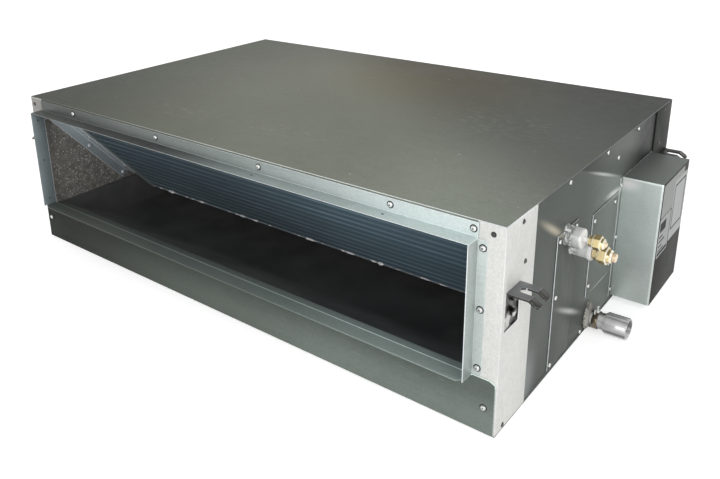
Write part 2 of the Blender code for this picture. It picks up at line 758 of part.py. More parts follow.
def drain_pan(black):
    """A moulded pan with a long sloping front, a flat trough under the coil and a bore for the spout."""
    front = POST_IN
    body = block(bmesh.new(), (-ROOM, front, UPRIGHT_LOW), (ROOM, PAN_BACK, PAN_RIM))
    pan = make("drain_pan", body, black)
    rise = WELL_OVERSHOOT
    side, ahead, behind = ROOM - PAN_SIDE_RIM, front + PAN_FRONT_RIM, PAN_BACK - PAN_BACK_RIM
    well = block(
        bmesh.new(),
        (-side + PAN_SIDE_RUN, ahead + PAN_FRONT_RUN, PAN_FLOOR),
        (side - PAN_SIDE_RUN, behind - PAN_BACK_RUN, PAN_FLOOR + (PAN_RIM - PAN_FLOOR) * rise),
    )
    for vertex in well.verts:
        if vertex.co.z > PAN_RIM:
            vertex.co.x = math.copysign(side - PAN_SIDE_RUN + PAN_SIDE_RUN * rise, vertex.co.x)
            if vertex.co.y < ahead + PAN_FRONT_RUN + CLEAR:
                vertex.co.y = ahead + PAN_FRONT_RUN - PAN_FRONT_RUN * rise
            else:
                vertex.co.y = behind - PAN_BACK_RUN + PAN_BACK_RUN * rise
    cut(pan, well)
    bore = bmesh.new()
    start = side - PAN_SIDE_RUN + SHEET
    rod(bore, (SPOUT_Y, SPOUT_Z), "X", SPOUT_NECK_RADIUS + CLEAR, start, RIGHT, PIPE_SIDES)
    return cut(pan, bore)


def drain_spout(plastic):
    """The spout: a neck from the pan through the side, and a wider mouth for the drain hose."""
    start = ROOM - PAN_SIDE_RIM - PAN_SIDE_RUN + SHEET + CLEAR - RIGHT
    neck, mouth = SPOUT_NECK_RADIUS, SPOUT_MOUTH_RADIUS
    flare = SPOUT_NECK_REACH + (mouth - neck)
    profile = [
        (start, neck),
        (SPOUT_NECK_REACH, neck),
        (flare, mouth),
        (SPOUT_REACH, mouth),
        (SPOUT_REACH, mouth - SPOUT_WALL),
        (flare + SPOUT_WALL, mouth - SPOUT_WALL),
        (SPOUT_NECK_REACH + SPOUT_WALL, neck - SPOUT_WALL),
        (start, neck - SPOUT_WALL),
    ]
    spout = make("drain_spout", turned(bmesh.new(), profile, PIPE_SIDES), plastic, smooth=True)
    spout.location = (RIGHT, SPOUT_Y, SPOUT_Z)
    return spout


def drain_grommet(putty):
    """The sealing putty pressed round the spout, taller above it than below."""
    outline = []
    for index in range(PUTTY_SIDES):
        angle = math.tau * index / PUTTY_SIDES
        height = GROMMET_UP if math.sin(angle) > 0 else GROMMET_DOWN
        y = SPOUT_Y + GROMMET_HALF_WIDTH * math.cos(angle)
        outline.append((y, SPOUT_Z + height * math.sin(angle)))
    shape = prism(bmesh.new(), outline, "X", SIDE_OUT + CLEAR, RIGHT + GROMMET_REACH)
    for vertex in shape.verts:
        if vertex.co.x > RIGHT:
            vertex.co.y = SPOUT_Y + (vertex.co.y - SPOUT_Y) * GROMMET_TAPER
            vertex.co.z = SPOUT_Z + (vertex.co.z - SPOUT_Z) * GROMMET_TAPER
    seal = make("drain_grommet", shape, putty, smooth=True)
    way = rod(bmesh.new(), (SPOUT_Y, SPOUT_Z), "X", SPOUT_NECK_RADIUS + CLEAR, SIDE_IN, 2 * RIGHT, PIPE_SIDES)
    return cut(seal, way)


def drain_clamp(zinc):
    """The band clamp on the spout's neck, with its screw housing on top."""
    inner = SPOUT_NECK_RADIUS + CLEAR
    outer = inner + CLAMP_BAND
    low, high = CLAMP_START, CLAMP_START + CLAMP_WIDTH
    profile = [(low, inner), (low, outer), (high, outer), (high, inner)]
    clamp = make("drain_clamp", turned(bmesh.new(), profile, PIPE_SIDES), zinc, smooth=True)
    clamp.location = (RIGHT, SPOUT_Y, SPOUT_Z)
    lug = CLAMP_WIDTH / 2
    roof = outer + CLAMP_HOUSING_RISE
    housing = block(bmesh.new(), (low, -lug, inner + CLAMP_BAND / 2), (high, lug, roof))
    join(clamp, housing)
    centre = ((low + high) / 2, 0)
    head = roof + CLAMP_SCREW_RISE
    return join(clamp, rod(bmesh.new(), centre, "Z", CLAMP_SCREW_RADIUS, outer, head, SCREW_SIDES))


def coil_frame():
    """An empty at the coil's lower front corner, whose Z runs up the coil and whose Y runs through it."""
    empty = bpy.data.objects.new("coil_frame", None)
    bpy.context.scene.collection.objects.link(empty)
    empty.location = (0, COIL_FOOT_Y, COIL_FOOT_Z)
    empty.rotation_euler.x = COIL_TILT
    return empty


def tube_place(row, tube):
    """A tube's centre in the coil frame: through the coil, and up it."""
    pitch = COIL_LENGTH / COIL_TUBES
    return (row + 0.5) * COIL_THICKNESS / COIL_ROWS, (tube + 0.5) * pitch


def coil_point(x, through, up):
    """A point of the coil frame in the casing's own axes."""
    y = COIL_FOOT_Y + through * math.cos(COIL_TILT) - up * math.sin(COIL_TILT)
    return x, y, COIL_FOOT_Z + through * math.sin(COIL_TILT) + up * math.cos(COIL_TILT)


def coil_fins(frame, fins_finish):
    """The fin pack: rippled along its two faces, one ripple for each row of tubes."""
    pitch = COIL_LENGTH / COIL_TUBES
    front = []
    back = []
    for tube in range(COIL_TUBES):
        foot = tube * pitch
        front += [(0.0, foot), (FIN_RIPPLE, foot + pitch / 2)]
        back += [(COIL_THICKNESS, foot), (COIL_THICKNESS - FIN_RIPPLE, foot + pitch / 2)]
    front.append((0.0, COIL_LENGTH))
    back.append((COIL_THICKNESS, COIL_LENGTH))
    half = COIL_END - SHEET - CLEAR
    pack = make("coil_fins", prism(bmesh.new(), front + back[::-1], "X", -half, half), fins_finish)
    pack.parent = frame
    return pack


def coil_end_plate(name, across, frame, steel):
    """A coil end plate with both edges folded out, and the return bends of its tubes brazed to it."""
    low, high = -END_PLATE_LAP, COIL_THICKNESS + END_PLATE_LAP
    path = [
        (COIL_END + END_PLATE_FLANGE, high),
        (COIL_END - SHEET, high),
        (COIL_END - SHEET, low),
        (COIL_END + END_PLATE_FLANGE, low),
    ]
    outline = [(across * x, y) for x, y in folded(path[::-1], SHEET)]
    plate = make(name, prism(bmesh.new(), outline, "Z", 0, COIL_LENGTH), steel)
    plate.parent = frame
    bends = bmesh.new()
    first = 0 if across < 0 else 1
    radius = COIL_LENGTH / COIL_TUBES / 2
    root = COIL_END - SHEET / 2
    start = COIL_END + BEND_STUB
    for row in range(COIL_ROWS):
        for tube in range(first, COIL_TUBES - 1, 2):
            through, low_up = tube_place(row, tube)
            high_up = tube_place(row, tube + 1)[1]
            middle = (low_up + high_up) / 2
            path = [Vector((across * root, through, low_up))]
            for index in range(BEND_STEPS + 1):
                angle = math.pi * index / BEND_STEPS
                out = start + radius * math.sin(angle)
                path.append(Vector((across * out, through, middle - radius * math.cos(angle))))
            path.append(Vector((across * root, through, high_up)))
            swept(bends, path, TUBE_RADIUS, BEND_SIDES)
    return join(plate, bends)


def coil_bracket(name, across, frame, steel):
    """The slanted angle that ties a coil end plate to the casing's side and closes the gap beside it."""
    near = -END_PLATE_LAP - CLEAR
    path = [(ROOM - BRACKET_WEB, near), (ROOM, near), (ROOM, near - BRACKET_WALL_LEG)]
    outline = [(across * x, y) for x, y in folded(path, SHEET)]
    bracket = make(name, prism(bmesh.new(), outline, "Z", BRACKET_LOW, BRACKET_HIGH), steel)
    bracket.parent = frame
    return bracket


def flare_union(name, place, reach, length, hex_radius, thread_radius, pipe_radius, brass):
    """A hexagonal union with a male thread, and a socket in its back for the pipe."""
    start = RIGHT + reach
    shape = rod(bmesh.new(), place, "X", hex_radius, start, start + length, 6)
    union = make(name, shape, brass)
    inside = start + length / 2
    thread = rod(bmesh.new(), place, "X", thread_radius, inside, start + length + THREAD_LENGTH, PIPE_SIDES)
    join(union, thread)
    bore = pipe_radius + CLEAR
    socket = rod(bmesh.new(), place, "X", bore, start - SHEET, start + SOCKET_DEPTH, PIPE_SIDES)
    return cut(union, socket)


def flare_nut(name, place, start, radius, hex_length, cone_length, thread_radius, plug_radius, brass):
    """A flare nut: a hexagon with a round tapered nose, bored for the union's thread and the plug's stem."""
    shape = rod(bmesh.new(), place, "X", radius, start, start + hex_length, 6)
    nut = make(name, shape, brass)
    end = start + hex_length
    waist = radius * NUT_WAIST_SHARE
    profile = [
        (end - SHEET, 0.0),
        (end - SHEET, waist),
        (end, waist),
        (end + cone_length, plug_radius + SHEET),
        (end + cone_length, 0.0),
    ]
    nose = turned(bmesh.new(), profile, PIPE_SIDES)
    bmesh.ops.translate(nose, verts=nose.verts, vec=(0, *place))
    join(nut, nose)
    inside = start + THREAD_LENGTH + SHEET
    cut(nut, rod(bmesh.new(), place, "X", thread_radius + CLEAR, start - SHEET, inside, PIPE_SIDES))
    way = rod(bmesh.new(), place, "X", plug_radius + CLEAR, start, end + cone_length + SHEET, PIPE_SIDES)
    return cut(nut, way)


def flare_plug(name, place, start, reach, stem_radius, head_radius, copper):
    """The sealing plug: a flared head that the nut holds on the union, and a stem through the nut's nose."""
    back = RIGHT + start + THREAD_LENGTH + CLEAR
    profile = [
        (back, 0.0),
        (back, head_radius),
        (back + CLEAR * 2, head_radius),
        (back + SHEET, stem_radius),
        (reach, stem_radius),
        (reach, 0.0),
    ]
    plug = make(name, turned(bmesh.new(), profile, PIPE_SIDES), copper, smooth=True)
    plug.location = (0, *place)
    return plug


def pipe_sleeve(name, place, radius, bore, reach, foil):
    """Insulation with a smooth jacket round a pipe, from inside the liner to its open end."""
    start = ROOM + 2 * CLEAR
    profile = [(start, bore), (start, radius), (RIGHT + reach, radius), (RIGHT + reach, bore)]
    sleeve = make(name, turned(bmesh.new(), profile, PIPE_SIDES), foil, smooth=True)
    sleeve.location = (0, *place)
    return sleeve


def liquid_line(copper):
    """The small pipe: from its union in through the side to a distributor with a capillary for each row."""
    ahead, height = coil_point(LIQUID_X, DISTRIBUTOR_THROUGH, COIL_LENGTH - DISTRIBUTOR_FROM_HEAD)[1:]
    rear = ahead + DISTRIBUTOR_LENGTH
    end = RIGHT + LIQUID_UNION_REACH + SOCKET_DEPTH - CLEAR
    points = [
        (end, LIQUID_Y, LIQUID_Z),
        (LIQUID_X, LIQUID_Y, LIQUID_Z),
        (LIQUID_X, LIQUID_Y, height),
        (LIQUID_X, rear - SHEET, height),
    ]
    path = rounded_path(points, LIQUID_BEND, BEND_STEPS)
    pipe = swept(bmesh.new(), path, LIQUID_PIPE_RADIUS, SMALL_PIPE_SIDES)
    line = make("liquid_line", pipe, copper, smooth=True)
    centre = (LIQUID_X, height)
    join(line, rod(bmesh.new(), centre, "Y", DISTRIBUTOR_RADIUS, ahead, rear, SMALL_PIPE_SIDES))
    for row in range(COIL_ROWS):
        through, up = tube_place(row, COIL_TUBES - 1)
        target = coil_point(COIL_END + CLEAR, through, up)
        spread = (row - 1) * CAPILLARY_SPACING
        points = [
            (LIQUID_X, ahead + SHEET, height + spread),
            (LIQUID_X, ahead - DISTRIBUTOR_RADIUS, height + spread),
            (LIQUID_X, target[1], target[2]),
            target,
        ]
        path = rounded_path(points, CAPILLARY_BEND, BEND_STEPS - 1)
        join(line, swept(bmesh.new(), path, CAPILLARY_RADIUS, BEND_SIDES))
    return line


def gas_line(copper):
    """The large pipe: from its union through the side, down behind the coil to a header with its stubs."""
    header_up = tube_place(0, 0)[1]
    first_through = tube_place(0, 0)[0]
    end = RIGHT + GAS_UNION_REACH + SOCKET_DEPTH - CLEAR
    rear = coil_point(GAS_X, COIL_THICKNESS + 2 * GAS_PIPE_RADIUS, header_up)
    header_start = Vector(coil_point(GAS_X, first_through - HEADER_RADIUS, header_up))
    points = [
        (end, GAS_Y, GAS_Z),
        (GAS_X, GAS_Y, GAS_Z),
        (GAS_X, rear[1], GAS_Z - 3 * GAS_PIPE_RADIUS),
        rear,
        header_start,
    ]
    path = rounded_path(points, GAS_BEND, BEND_STEPS)
    pipe = swept(bmesh.new(), path, GAS_PIPE_RADIUS, SMALL_PIPE_SIDES)
    line = make("gas_line", pipe, copper, smooth=True)
    stubs = bmesh.new()
    for row in range(COIL_ROWS):
        through, up = tube_place(row, 0)
        path = [Vector(coil_point(COIL_END + CLEAR, through, up)), Vector(coil_point(GAS_X, through, up))]
        swept(stubs, path, TUBE_RADIUS, BEND_SIDES)
    return join(line, stubs)


def deck_ways(bm, low, high, inset):
    """The two blower mouths as cutting blocks."""
    half = VOLUTE_WIDTH / 2 - inset
    foot, head = FAN_Z + VOLUTE_LIP + inset, FAN_Z + VOLUTE_END - inset
    for facing in (-1, 1):
        centre = facing * FAN_SPACING / 2
        block(bm, (centre - half, low, foot), (centre + half, high, head))
    return bm


def fan_deck(steel):
    """The partition between coil and fans, flanged at top and bottom and open at the two blower mouths."""
    path = [
        (DECK_Y + DECK_FLANGE, ROOF),
        (DECK_Y, ROOF),
        (DECK_Y, UPRIGHT_LOW),
        (DECK_Y + DECK_FLANGE, UPRIGHT_LOW),
    ]
    outline = folded(path[::-1], SHEET)
    deck = make("fan_deck", prism(bmesh.new(), outline, "X", -ROOM, ROOM), steel)
    ways = deck_ways(bmesh.new(), DECK_Y - SHEET, DECK_Y + DECK_FLANGE / 2, VOLUTE_WALL)
    return cut(deck, ways)


def volute_outline(inset, mouth):
    """The scroll's side view round the shaft: a spiral from the tongue, then a straight throat."""
    points = [(mouth, VOLUTE_LIP + inset)]
    for index in range(VOLUTE_STEPS + 1):
        share = index / VOLUTE_STEPS
        angle = VOLUTE_TONGUE_ANGLE + (VOLUTE_LAST_ANGLE - VOLUTE_TONGUE_ANGLE) * share
        radius = VOLUTE_START + (VOLUTE_END - VOLUTE_START) * share - inset
        points.append((radius * math.cos(angle), radius * math.sin(angle)))
    points.append((mouth, VOLUTE_END - inset))
    return points


def volutes(shaft_frame, plastic):
    """Two blower housings, each of a lower and an upper half, with a round inlet in both sides."""
    mouth = DECK_Y + SHEET + CLEAR - FAN_Y
    half = VOLUTE_WIDTH / 2
    for level, sign in (("lower", -1), ("upper", 1)):
        body = prism(bmesh.new(), volute_outline(0, mouth), "X", -half, half)
        shell = make(f"volute_{level}_right", body, plastic)
        hollow = volute_outline(VOLUTE_WALL, mouth - VOLUTE_WALL)
        inner = half - VOLUTE_WALL
        cut(shell, prism(bmesh.new(), hollow, "X", -inner, inner))
        cut(shell, rod(bmesh.new(), (0, 0), "X", INLET_RADIUS, -half - SHEET, half + SHEET, INLET_SIDES))
        reach = 2 * VOLUTE_END
        edges = sorted((-sign * reach, sign * CLEAR / 2))
        cut(shell, block(bmesh.new(), (-half - SHEET, -reach, edges[0]), (half + SHEET, reach, edges[1])))
        settle(shell)
        shell.parent = shaft_frame
        shell.location.x = FAN_SPACING / 2
        other = copy_of(shell, f"volute_{level}_left")
        other.location.x = -FAN_SPACING / 2


def blade_outline():
    """A forward-curved blade's section: a curved middle line with half the thickness on each side."""
    inner, outer = WHEEL_INNER_RADIUS, WHEEL_RADIUS - WHEEL_RING / 2
    middle = []
    for index in range(BLADE_STEPS + 1):
        share = index / BLADE_STEPS
        radius = inner + (outer - inner) * share
        angle = BLADE_SWEEP * share * share
        middle.append(Vector((radius * math.cos(angle), radius * math.sin(angle))))
    sides = ([], [])
    for index, point in enumerate(middle):
        run = (middle[min(index + 1, BLADE_STEPS)] - middle[max(index - 1, 0)]).normalized()
        across = Vector((-run.y, run.x)) * BLADE_THICKNESS / 2
        sides[0].append(point + across)
        sides[1].append(point - across)
    return sides[0] + sides[1][::-1]


def blower_wheels(shaft_frame, blade_finish):
    """Two double-inlet wheels: forward-curved blades between two rings, carried by a middle disc and hub."""
    half = WHEEL_WIDTH / 2
    shape = bmesh.new()
    disc = WHEEL_DISC / 2
    bore = SHAFT_RADIUS + CLEAR
    hub = HUB_LENGTH / 2
    rim = WHEEL_RADIUS - WHEEL_RING / 2
    profile = [
        (-hub, bore),
        (-hub, HUB_RADIUS),
        (-disc, HUB_RADIUS),
        (-disc, rim),
        (disc, rim),
        (disc, HUB_RADIUS),
        (hub, HUB_RADIUS),
        (hub, bore),
    ]
    turned(shape, profile, WHEEL_SEGMENTS)
    for facing in (-1, 1):
        near, far = facing * (half - WHEEL_RING_WIDTH), facing * half
        inner, outer = WHEEL_RADIUS - WHEEL_RING, WHEEL_RADIUS
        turned(shape, [(near, inner), (near, outer), (far, outer), (far, inner)], WHEEL_SEGMENTS)
    wheel = make("blower_wheel_right", shape, blade_finish)
    blades = bmesh.new()
    section = blade_outline()
    end = half - WHEEL_RING_WIDTH / 2
    for index in range(BLADE_COUNT):
        turn = Matrix.Rotation(math.tau * index / BLADE_COUNT, 2)
        prism(blades, [tuple(turn @ point) for point in section], "X", -end, end)
    join(wheel, blades)
    settle(wheel)
    wheel.parent = shaft_frame
    wheel.location.x = FAN_SPACING / 2
    other = copy_of(wheel, "blower_wheel_left")
    other.location.x = -FAN_SPACING / 2


def motor(shaft_frame, steel, shell_finish, case_steel):
    """The double-shaft motor: a round shell with bearing noses, its shaft, and a saddle on the base."""
    shaft = rod(bmesh.new(), (0, 0), "X", SHAFT_RADIUS, -HALF_SHAFT, HALF_SHAFT, PIPE_SIDES)
    make("motor_shaft", shaft, steel, smooth=True).parent = shaft_frame
    half = MOTOR_LENGTH / 2
    bore = SHAFT_RADIUS + CLEAR
    shoulder = MOTOR_RADIUS * MOTOR_SHOULDER_SHARE
    barrel = half * MOTOR_BARREL_SHARE
    profile = [
        (-half - MOTOR_NOSE, bore),
        (-half - MOTOR_NOSE, MOTOR_NOSE_RADIUS),
        (-half, MOTOR_NOSE_RADIUS),
        (-half, shoulder),
        (-barrel, MOTOR_RADIUS),
        (barrel, MOTOR_RADIUS),
        (half, shoulder),
        (half, MOTOR_NOSE_RADIUS),
        (half + MOTOR_NOSE, MOTOR_NOSE_RADIUS),
        (half + MOTOR_NOSE, bore),
    ]
    shell = make("motor_shell", turned(bmesh.new(), profile, MOTOR_SIDES), shell_finish, smooth=True)
    shell.parent = shaft_frame
    floor = UPRIGHT_LOW - FAN_Z
    seat = MOTOR_RADIUS + CLEAR + SHEET
    upright = seat + CRADLE_OUTSET
    path = [(-upright - CRADLE_FOOT, floor + SHEET), (-upright, floor + SHEET), (-upright, 0.0)]
    for index in range(CRADLE_STEPS + 1):
        angle = math.pi * (1 + index / CRADLE_STEPS)
        path.append(((seat - SHEET) * math.cos(angle), (seat - SHEET) * math.sin(angle)))
    path += [(upright, 0.0), (upright, floor + SHEET), (upright + CRADLE_FOOT, floor + SHEET)]
    outline = folded(path, SHEET)
    wide = CRADLE_WIDTH / 2
    make("motor_cradle", prism(bmesh.new(), outline, "X", -wide, wide), case_steel).parent = shaft_frame


def control_box(steel, board_finish, plastic, rubber):
    """The electrical box on the pipe side: a back plate, a deep cover, and the parts on the plate."""
    plate_in, plate_out = SIDE_OUT + CLEAR, COVER_OUT
    low = (plate_in, BOX_FRONT - BOX_FLANGE, BOX_LOW)
    base = sheet_between("control_box_base", low, (plate_out, BOX_BACK + BOX_FLANGE, BOX_HIGH), steel)
    ledge = SHEET + CLEAR
    rim = block(
        bmesh.new(),
        (plate_in + SHEET / 2, BOX_FRONT + ledge, BOX_LOW + ledge),
        (plate_out + BOX_LIP, BOX_BACK - ledge, BOX_HIGH - ledge),
    )
    join(base, rim)
    hollow = block(
        bmesh.new(),
        (plate_out, BOX_FRONT + ledge + SHEET, BOX_LOW + ledge + SHEET),
        (plate_out + 2 * BOX_LIP, BOX_BACK - ledge - SHEET, BOX_HIGH - ledge - SHEET),
    )
    cut(base, hollow)
    back = plate_out + CLEAR
    outer = RIGHT + BOX_REACH
    cover = sheet_between("control_box_cover", (back, BOX_FRONT, BOX_LOW), (outer, BOX_BACK, BOX_HIGH), steel)
    cavity = block(
        bmesh.new(),
        (back - SHEET, BOX_FRONT + SHEET, BOX_LOW + SHEET),
        (outer - SHEET, BOX_BACK - SHEET, BOX_HIGH - SHEET),
    )
    cut(cover, cavity)
    hole_x = outer - 2 * CABLE_HOLE_RADIUS
    place = (hole_x, CABLE_HOLE_Z)
    inside, outside = BOX_BACK - 2 * SHEET, BOX_BACK + SHEET
    cut(cover, rod(bmesh.new(), place, "Y", CABLE_HOLE_RADIUS + CLEAR, inside, outside, PIPE_SIDES))
    neck = CABLE_HOLE_RADIUS
    flange = neck + GROMMET_FLANGE
    near, far = -SHEET - CLEAR, CLEAR
    thick = GROMMET_THICK
    profile = [
        (near - thick, GROMMET_BORE),
        (near - thick, flange),
        (near, flange),
        (near, neck),
        (far, neck),
        (far, flange),
        (far + thick, flange),
        (far + thick, GROMMET_BORE),
    ]
    seal = make("cable_grommet", turned(bmesh.new(), profile, GROMMET_SIDES), rubber, smooth=True)
    seal.location = (hole_x, BOX_BACK, CABLE_HOLE_Z)
    seal.rotation_euler.z = math.pi / 2
    control_box_parts(back, board_finish, plastic)


def control_box_parts(back, board_finish, plastic):
    """A terminal block with barriers, a board with a relay and a transformer, and the motor's capacitor."""
    front, rear = BOX_FRONT + BOX_MARGIN, BOX_BACK - BOX_MARGIN
    foot = BOX_LOW + BOX_MARGIN
    head = foot + TERMINAL_HEIGHT
    body_top = back + TERMINAL_THICK
    terminal = sheet_between("terminal_block", (back, front, foot), (body_top, rear, head), plastic)
    barriers = bmesh.new()
    step = (rear - front - BARRIER_THICK) / (BARRIER_COUNT - 1)
    for index in range(BARRIER_COUNT):
        y = front + step * index
        low = (body_top - BARRIER_RISE, y, foot + SHEET)
        block(barriers, low, (body_top + BARRIER_RISE, y + BARRIER_THICK, head - SHEET))
    join(terminal, barriers)
    board_low, board_high = head + BOARD_GAP, BOX_HIGH - BOX_MARGIN
    board_end = rear - 2 * CAPACITOR_RADIUS - CAPACITOR_GAP
    face = back + BOARD_THICK
    corner = (face, board_end, board_high)
    board = sheet_between("control_board", (back, front, board_low), corner, board_finish)
    lumps = bmesh.new()
    near, base = front + BOARD_EDGE, board_low + BOARD_EDGE
    long, tall = TRANSFORMER_SIZE
    block(lumps, (face - SHEET, near, base), (back + TRANSFORMER_RISE, near + long, base + tall))
    wide, high = RELAY_SIZE
    crown = board_high - BOARD_EDGE
    block(lumps, (face - SHEET, near, crown - high), (back + RELAY_RISE, near + wide, crown))
    join(board, lumps)
    centre = (back + CAPACITOR_RADIUS, rear - CAPACITOR_RADIUS)
    can = rod(bmesh.new(), centre, "Z", CAPACITOR_RADIUS, board_low, board_low + CAPACITOR_LENGTH, PIPE_SIDES)
    make("fan_capacitor", can, plastic, smooth=True)


def shaft_frame_empty():
    """An empty on the fans' shaft axis."""
    empty = bpy.data.objects.new("shaft_frame", None)
    bpy.context.scene.collection.objects.link(empty)
    empty.location = (0, FAN_Y, FAN_Z)
    return empty


def build_casing(steel, bright, paint, zinc, foam):
    """Panels, posts, collars, hangers and liners."""
    top_panel(steel)
    bottom_panel(steel)
    for along, end in ((-1, "front"), (1, "rear")):
        for across, hand in ((-1, "left"), (1, "right")):
            corner_post(f"corner_post_{end}_{hand}", across, along, paint)
    side_sheet("side_panel_left", -1, steel)
    side_panel_right(steel)
    front_lower_panel(steel)
    front_sill(bright)
    outlet_flange_top(bright)
    outlet_flange_side("outlet_flange_left", -1, bright)
    outlet_flange_side("outlet_flange_right", 1, bright)
    return_air_frame(bright)
    hanger_brackets(zinc)
    pipe_cover_panel(steel)
    access_panel(steel)
    side_liner("side_liner_left", -1, foam)
    side_liner("side_liner_right", 1, foam)
    low = (-ROOM, POST_IN, ROOF + CLEAR)
    sheet_between("top_liner", low, (ROOM, -POST_IN, UPRIGHT_TOP), foam)


def build_coil_and_drain(bright, zinc, copper, brass, foil):
    """The coil with its plates and lines, the drain, and the pipe connections."""
    frame = coil_frame()
    coil_fins(frame, finish("blue_fins", (0.03, 0.05, 0.09), 0.45, 0.6))
    coil_end_plate("coil_end_plate_left", -1, frame, bright)
    coil_end_plate("coil_end_plate_right", 1, frame, bright)
    coil_bracket("coil_bracket_left", -1, frame, bright)
    coil_bracket("coil_bracket_right", 1, frame, bright)
    liquid_line(copper)
    gas_line(copper)
    liquid, gas = (LIQUID_Y, LIQUID_Z), (GAS_Y, GAS_Z)
    bore = LIQUID_PIPE_RADIUS + CLEAR
    pipe_sleeve("liquid_sleeve", liquid, LIQUID_SLEEVE_RADIUS, bore, LIQUID_SLEEVE_REACH, foil)
    bore = GAS_PIPE_RADIUS + CLEAR
    pipe_sleeve("gas_sleeve", gas, GAS_SLEEVE_RADIUS, bore, GAS_SLEEVE_REACH, foil)
    flare_union(
        "liquid_union", liquid, LIQUID_UNION_REACH, LIQUID_UNION_LENGTH, LIQUID_UNION_RADIUS,
        LIQUID_THREAD_RADIUS, LIQUID_PIPE_RADIUS, brass,
    )
    flare_union(
        "gas_union", gas, GAS_UNION_REACH, GAS_UNION_LENGTH, GAS_UNION_RADIUS,
        GAS_THREAD_RADIUS, GAS_PIPE_RADIUS, brass,
    )
    liquid_face = LIQUID_UNION_REACH + LIQUID_UNION_LENGTH
    gas_face = GAS_UNION_REACH + GAS_UNION_LENGTH
    flare_nut(
        "liquid_flare_nut", liquid, RIGHT + liquid_face + CLEAR, LIQUID_NUT_RADIUS, LIQUID_NUT_HEX,
        LIQUID_NUT_CONE, LIQUID_THREAD_RADIUS, LIQUID_PIPE_RADIUS, brass,
    )
    flare_nut(
        "gas_flare_nut", gas, RIGHT + gas_face + CLEAR, GAS_NUT_RADIUS, GAS_NUT_HEX,
        GAS_NUT_CONE, GAS_THREAD_RADIUS, GAS_PIPE_RADIUS, brass,
    )
    liquid_end = RIGHT + liquid_face + LIQUID_NUT_HEX + LIQUID_NUT_CONE + LIQUID_PLUG_REACH
    gas_end = RIGHT + gas_face + GAS_NUT_HEX + GAS_NUT_CONE + GAS_PLUG_REACH
    head = LIQUID_THREAD_RADIUS - CLEAR
    flare_plug("liquid_plug", liquid, liquid_face, liquid_end, LIQUID_PIPE_RADIUS, head, copper)
    head = GAS_THREAD_RADIUS - CLEAR
    flare_plug("gas_plug", gas, gas_face, gas_end, GAS_PIPE_RADIUS, head, copper)
    drain_pan(finish("pan_black", (0.012, 0.012, 0.013), 0.45, 0.0))
    drain_spout(finish("clear_spout", (0.45, 0.46, 0.46), 0.15, 0.3))
    drain_grommet(finish("putty", (0.42, 0.38, 0.30), 0.85, 0.0))
    drain_clamp(zinc)


def build_fans(bright, rotor_steel):
    """The deck, volutes, wheels and motor."""
    axis = shaft_frame_empty()
    fan_deck(bright)
    volutes(axis, finish("volute_plastic", (0.55, 0.56, 0.55), 0.5, 0.0))
    blower_wheels(axis, finish("wheel_plastic", (0.06, 0.06, 0.065), 0.45, 0.0))
    motor(axis, rotor_steel, finish("motor_grey", (0.25, 0.26, 0.27), 0.4, 0.6), bright)


def main():
    """Build every sub-part."""
    clear_scene()
    steel = finish("galvanised_steel", (0.30, 0.32, 0.31), 0.35, 0.9)
    bright = finish("bright_galvanised", (0.50, 0.53, 0.52), 0.35, 0.9)
    paint = finish("post_paint", (0.80, 0.80, 0.77), 0.55, 0.0)
    zinc = finish("zinc_steel", (0.42, 0.43, 0.45), 0.3, 1.0)
    foam = finish("liner_foam", (0.08, 0.07, 0.06), 0.9, 0.0)
    copper = finish("copper", (0.72, 0.38, 0.24), 0.3, 1.0)
    brass = finish("brass", (0.72, 0.55, 0.26), 0.25, 1.0)
    foil = finish("silver_jacket", (0.75, 0.76, 0.77), 0.25, 0.8)
    build_casing(steel, bright, paint, zinc, foam)
    build_coil_and_drain(bright, zinc, copper, brass, foil)
    build_fans(bright, finish("shaft_steel", (0.55, 0.56, 0.57), 0.25, 1.0))
    board = finish("board_green", (0.05, 0.22, 0.10), 0.5, 0.0)
    black = finish("black_plastic", (0.03, 0.03, 0.03), 0.5, 0.0)
    control_box(steel, board, black, finish("black_rubber", (0.02, 0.02, 0.02), 0.8, 0.0))


main()
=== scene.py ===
"""Looks of the ducted air conditioner: finishes, screws, fittings, fins, stickers, and a plain studio.

Lengths are in metres in the part's own frame: +X is the pipe side, -Y the air outlet and +Z up. The origin
is the middle of the casing's underside.
"""

from __future__ import annotations

import json
import logging
import math
import random
from dataclasses import dataclass
from enum import Enum
from typing import Callable, Iterable, Sequence

import bmesh
import bpy
from mathutils import Matrix, Vector, noise

